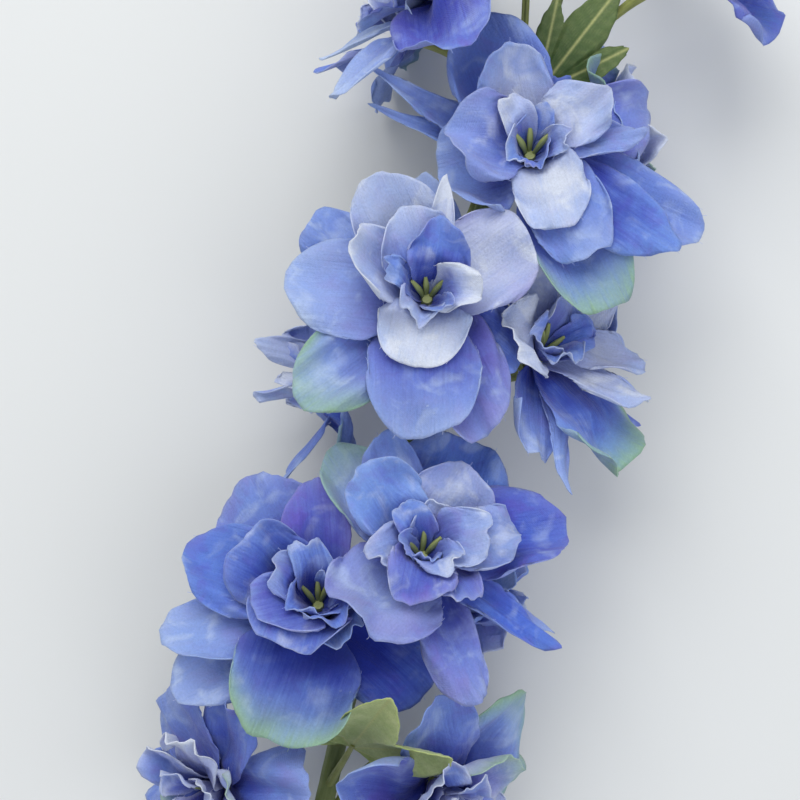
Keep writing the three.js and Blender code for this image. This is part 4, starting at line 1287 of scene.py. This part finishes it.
def leaf_blade(name, neck, way, over, lobes, dark, bow):
    """A leaf that runs from its neck along way, with over as its upper side."""
    side = np.cross(over, way)
    reach = max(abs(turn) + spread for turn, _, spread in lobes) * 0.96

    # Each lobe is longest on its own middle vein, and the longest lobe wins along every ray.
    angle = np.linspace(-reach, reach, RAYS)[None, :]
    share = np.linspace(0.03, 1, RINGS)[:, None]
    far = np.zeros_like(angle)
    vein = np.full_like(angle, 90.0)
    for turn, length, spread in lobes:
        off = np.abs(angle - turn) / spread
        lobe = length * (1 - 0.64 * np.minimum(off, 1.6) ** 1.15)
        teeth = TEETH * (1 - np.abs((off * TEETH_PER_LOBE) % 1.0 * 2 - 1)) * (off > 0.12)
        far = np.maximum(far, lobe + teeth)
        vein = np.minimum(vein, np.abs(angle - turn))

    # The halves fold up from each vein, the whole blade bows, its rim waves, and side veins stand out.
    r = share * np.maximum(far, 6)
    a = np.radians(angle)
    bent = r * (1 - 0.06 * share**2)
    z = 0.055 * np.minimum(np.radians(vein) * r, 8) * 6 * share**0.6 + bow * share**2
    z = z + 0.8 * np.sin(3.2 * a * 2 + 5 * share) * share**1.5 + 0.5 * np.sin(9 * a + 2.0) * share**3
    ribs = RIBS * np.cos(math.tau * (r / RIB_SPACING - np.radians(vein) * r * 0.16))
    z = z + ribs * share
    spots = neck + (bent * np.cos(a))[..., None] * way + (bent * np.sin(a))[..., None] * side
    spots = spots + z[..., None] * over
    spots[..., 2] = np.maximum(spots[..., 2], CLOTH)
    points, faces = shell(spots)
    blade = mesh_object(name, points, faces.tolist(), LEAF_CLOTH)
    line = np.exp(-((np.radians(vein) * r / VEIN) ** 2)) * 0.8 + 0.1 * np.clip(ribs / RIBS, 0, 1) ** 2
    shade = dark + 0.25 * (1 - share) + 0 * r
    values = np.stack([line, share + 0 * r, np.clip(shade, 0, 1), np.ones_like(r)], -1).reshape(-1, 4)
    store(blade, "place", np.vstack([values, values]))
    return blade


for i, (root, bearing, pitch, stalk_length, dark, bow, lobes) in enumerate(LEAVES):
    way = heading(bearing, pitch)
    side = unit(np.cross((0, 0, 1), way))
    over = np.cross(way, side)
    outward = unit(way * (1, 0, 1))
    start = stem_at(root)[0] + outward * stem_at(root)[1] * ROOTED
    neck = start + way * (stalk_length + 2)
    blade = leaf_blade(f"leaf_blade_{i + 1:02d}", neck, way, over, lobes, dark, bow)
    fasten(blade, "leaf_cloth", f"leaf_{i + 1:02d}")
    points = bezier([start, start + way * stalk_length * 0.5, neck + way * 2], 16)
    radii = np.linspace(*LEAF_STALK_RADII, 16)
    stalk = run_tree(centre_lines("leaf_stalk_line", [(points, radii)]), MOULDED_ROD,
                     f"leaf_stalk_{i + 1:02d}", Sides=12, Step=0.0015, Ribs=1, Rib_height=0.00015,
                     Lumps=0.0003, Seed=i, Material=STALK_PLASTIC)
    fasten(stalk, "stalk_plastic")
print("last leaf:", len(blade.data.polygons), "faces")

# %% [markdown]
# ## Loose threads
#
# Die-cut cloth frays: short threads stand out of the cut edges. They repeat by the thousand, so a Geometry
# Nodes tree places one small bent thread on edge points picked by chance. The points carry the direction in
# which the cloth ends there, and its dye, with the white of the cut edge that is partly painted highlight. A
# thread is the satin's own yarn, which gives the eye a fine pale line, bluer or greener with the dye beside
# it, and paler where that painted highlight is.

# %% Geometry Nodes: frayed threads
def frayed_thread_tree():
    """Points with a "fray" direction in, short bent threads out. Sizes are in metres."""
    tree, given, result = new_tree("frayed_threads", [
        ("Chance", "NodeSocketFloat", 0.2),
        ("Length", "NodeSocketFloat", 0.0012),
        ("Thickness", "NodeSocketFloat", 0.00007),
        ("Seed", "NodeSocketInt", 5),
        ("Material", "NodeSocketMaterial", None),
    ])
    bend = add(tree, "GeometryNodeCurveQuadraticBezier", Resolution=4, Start=(0, 0, 0), Middle=(0.12, 0, 0.5),
               End=(-0.1, 0.1, 1))
    sized = add(tree, "GeometryNodeTransform", Geometry=bend.outputs[0])
    tall = add(tree, "ShaderNodeCombineXYZ", n0=given["Length"], n1=given["Length"], n2=given["Length"])
    tree.links.new(tall.outputs[0], sized.inputs["Scale"])
    section = add(tree, "GeometryNodeCurvePrimitiveCircle", Resolution=4, Radius=given["Thickness"])
    thread = add(tree, "GeometryNodeCurveToMesh", Curve=sized.outputs[0], Profile_Curve=section.outputs[0],
                 Fill_Caps=True)
    points = add(tree, "GeometryNodeMeshToPoints", Mesh=given["Geometry"])
    pick = add(tree, "FunctionNodeRandomValue", {"data_type": "BOOLEAN"}, Seed=given["Seed"])
    tree.links.new(given["Chance"], [s for s in pick.inputs if s.name == "Probability"][0])
    way = add(tree, "GeometryNodeInputNamedAttribute", {"data_type": "FLOAT_VECTOR"}, Name="fray")
    stray = add(tree, "FunctionNodeRandomValue", {"data_type": "FLOAT_VECTOR"}, Seed=given["Seed"])
    stray.inputs[0].default_value = (-0.55, -0.55, -0.55)
    stray.inputs[1].default_value = (0.55, 0.55, 0.55)
    aim = add(tree, "ShaderNodeVectorMath", {"operation": "ADD"}, n0=way.outputs[0], n1=stray.outputs[0])
    turned = add(tree, "FunctionNodeAlignRotationToVector", {"axis": "Z"}, Vector=aim.outputs[0])
    scale = add(tree, "FunctionNodeRandomValue", {"data_type": "FLOAT"}, Seed=given["Seed"])
    scale.inputs[2].default_value, scale.inputs[3].default_value = 0.35, 1.4
    placed = add(tree, "GeometryNodeInstanceOnPoints", Points=points.outputs[0], Instance=thread.outputs[0],
                 Rotation=turned.outputs[0], Scale=scale.outputs[1])
    tree.links.new([s for s in pick.outputs if s.type == "BOOLEAN"][0], placed.inputs["Selection"])
    real = add(tree, "GeometryNodeRealizeInstances", Geometry=placed.outputs[0])
    skin = add(tree, "GeometryNodeSetMaterial", Geometry=real.outputs[0], Material=given["Material"])
    tree.links.new(skin.outputs[0], result.inputs[0])
    return tree


THREAD_PATCHES = 3.33  # size of the lighter and darker patches in the threads


def thread_material():
    """Satin yarn in the dye of the cloth beside it, paler where the rim's white is partly painted highlight."""
    material, tree, shader = principled("frayed_satin_thread", Roughness=0.7, Sheen_Weight=0.3, IOR=1.45)
    dye_and_painted_light = add(tree, "ShaderNodeAttribute", {"attribute_name": "dye_and_painted_light"})
    amounts = add(tree, "ShaderNodeSeparateColor", n0=dye_and_painted_light.outputs["Color"])
    body = add(tree, "ShaderNodeTexCoord")
    blot = add(tree, "ShaderNodeTexNoise", n0=body.outputs["Object"], Scale=noise_scale(THREAD_PATCHES),
               Detail=1.0)
    blue = add(tree, "ShaderNodeMix", {"data_type": "RGBA"}, n0=blot.outputs[0], n6=srgb("6f8ae0"),
               n7=srgb("a9bcf0"))
    pale = add(tree, "ShaderNodeMix", {"data_type": "RGBA", "clamp_factor": True}, n0=amounts.outputs[0],
               n6=blue.outputs[2], n7=srgb("e2e6f6"))
    green = add(tree, "ShaderNodeMix", {"data_type": "RGBA", "clamp_factor": True}, n0=amounts.outputs[2],
                n6=pale.outputs[2], n7=srgb("9ab5a2"))
    tree.links.new(green.outputs[2], shader.inputs["Base Color"])
    return material


THREAD_CLEARANCE = 1.5  # cloth this near to the table has no loose threads
edge_spots = np.vstack([spots for spots, _, _ in rim_points])
edge_ways = np.vstack([ways for _, ways, _ in rim_points])
edge_ways /= np.maximum(np.linalg.norm(edge_ways, axis=1, keepdims=True), 1e-9)
edge_dye_and_painted_light = np.vstack([dye_and_painted_light for _, _, dye_and_painted_light in rim_points])
clear_of_table = edge_spots[:, 2] > THREAD_CLEARANCE
edges = mesh_object("cut_edges", edge_spots[clear_of_table], [], SATIN["petal"])
store(edges, "fray", edge_ways[clear_of_table])
store(edges, "dye_and_painted_light", edge_dye_and_painted_light[clear_of_table])
threads = run_tree(edges, frayed_thread_tree(), "frayed_threads", Chance=0.1, Length=0.0011,
                   Thickness=0.000045, Seed=5, Material=thread_material())
fasten(threads, "petal_cloth")
print("loose threads:", len(threads.data.polygons), "faces")
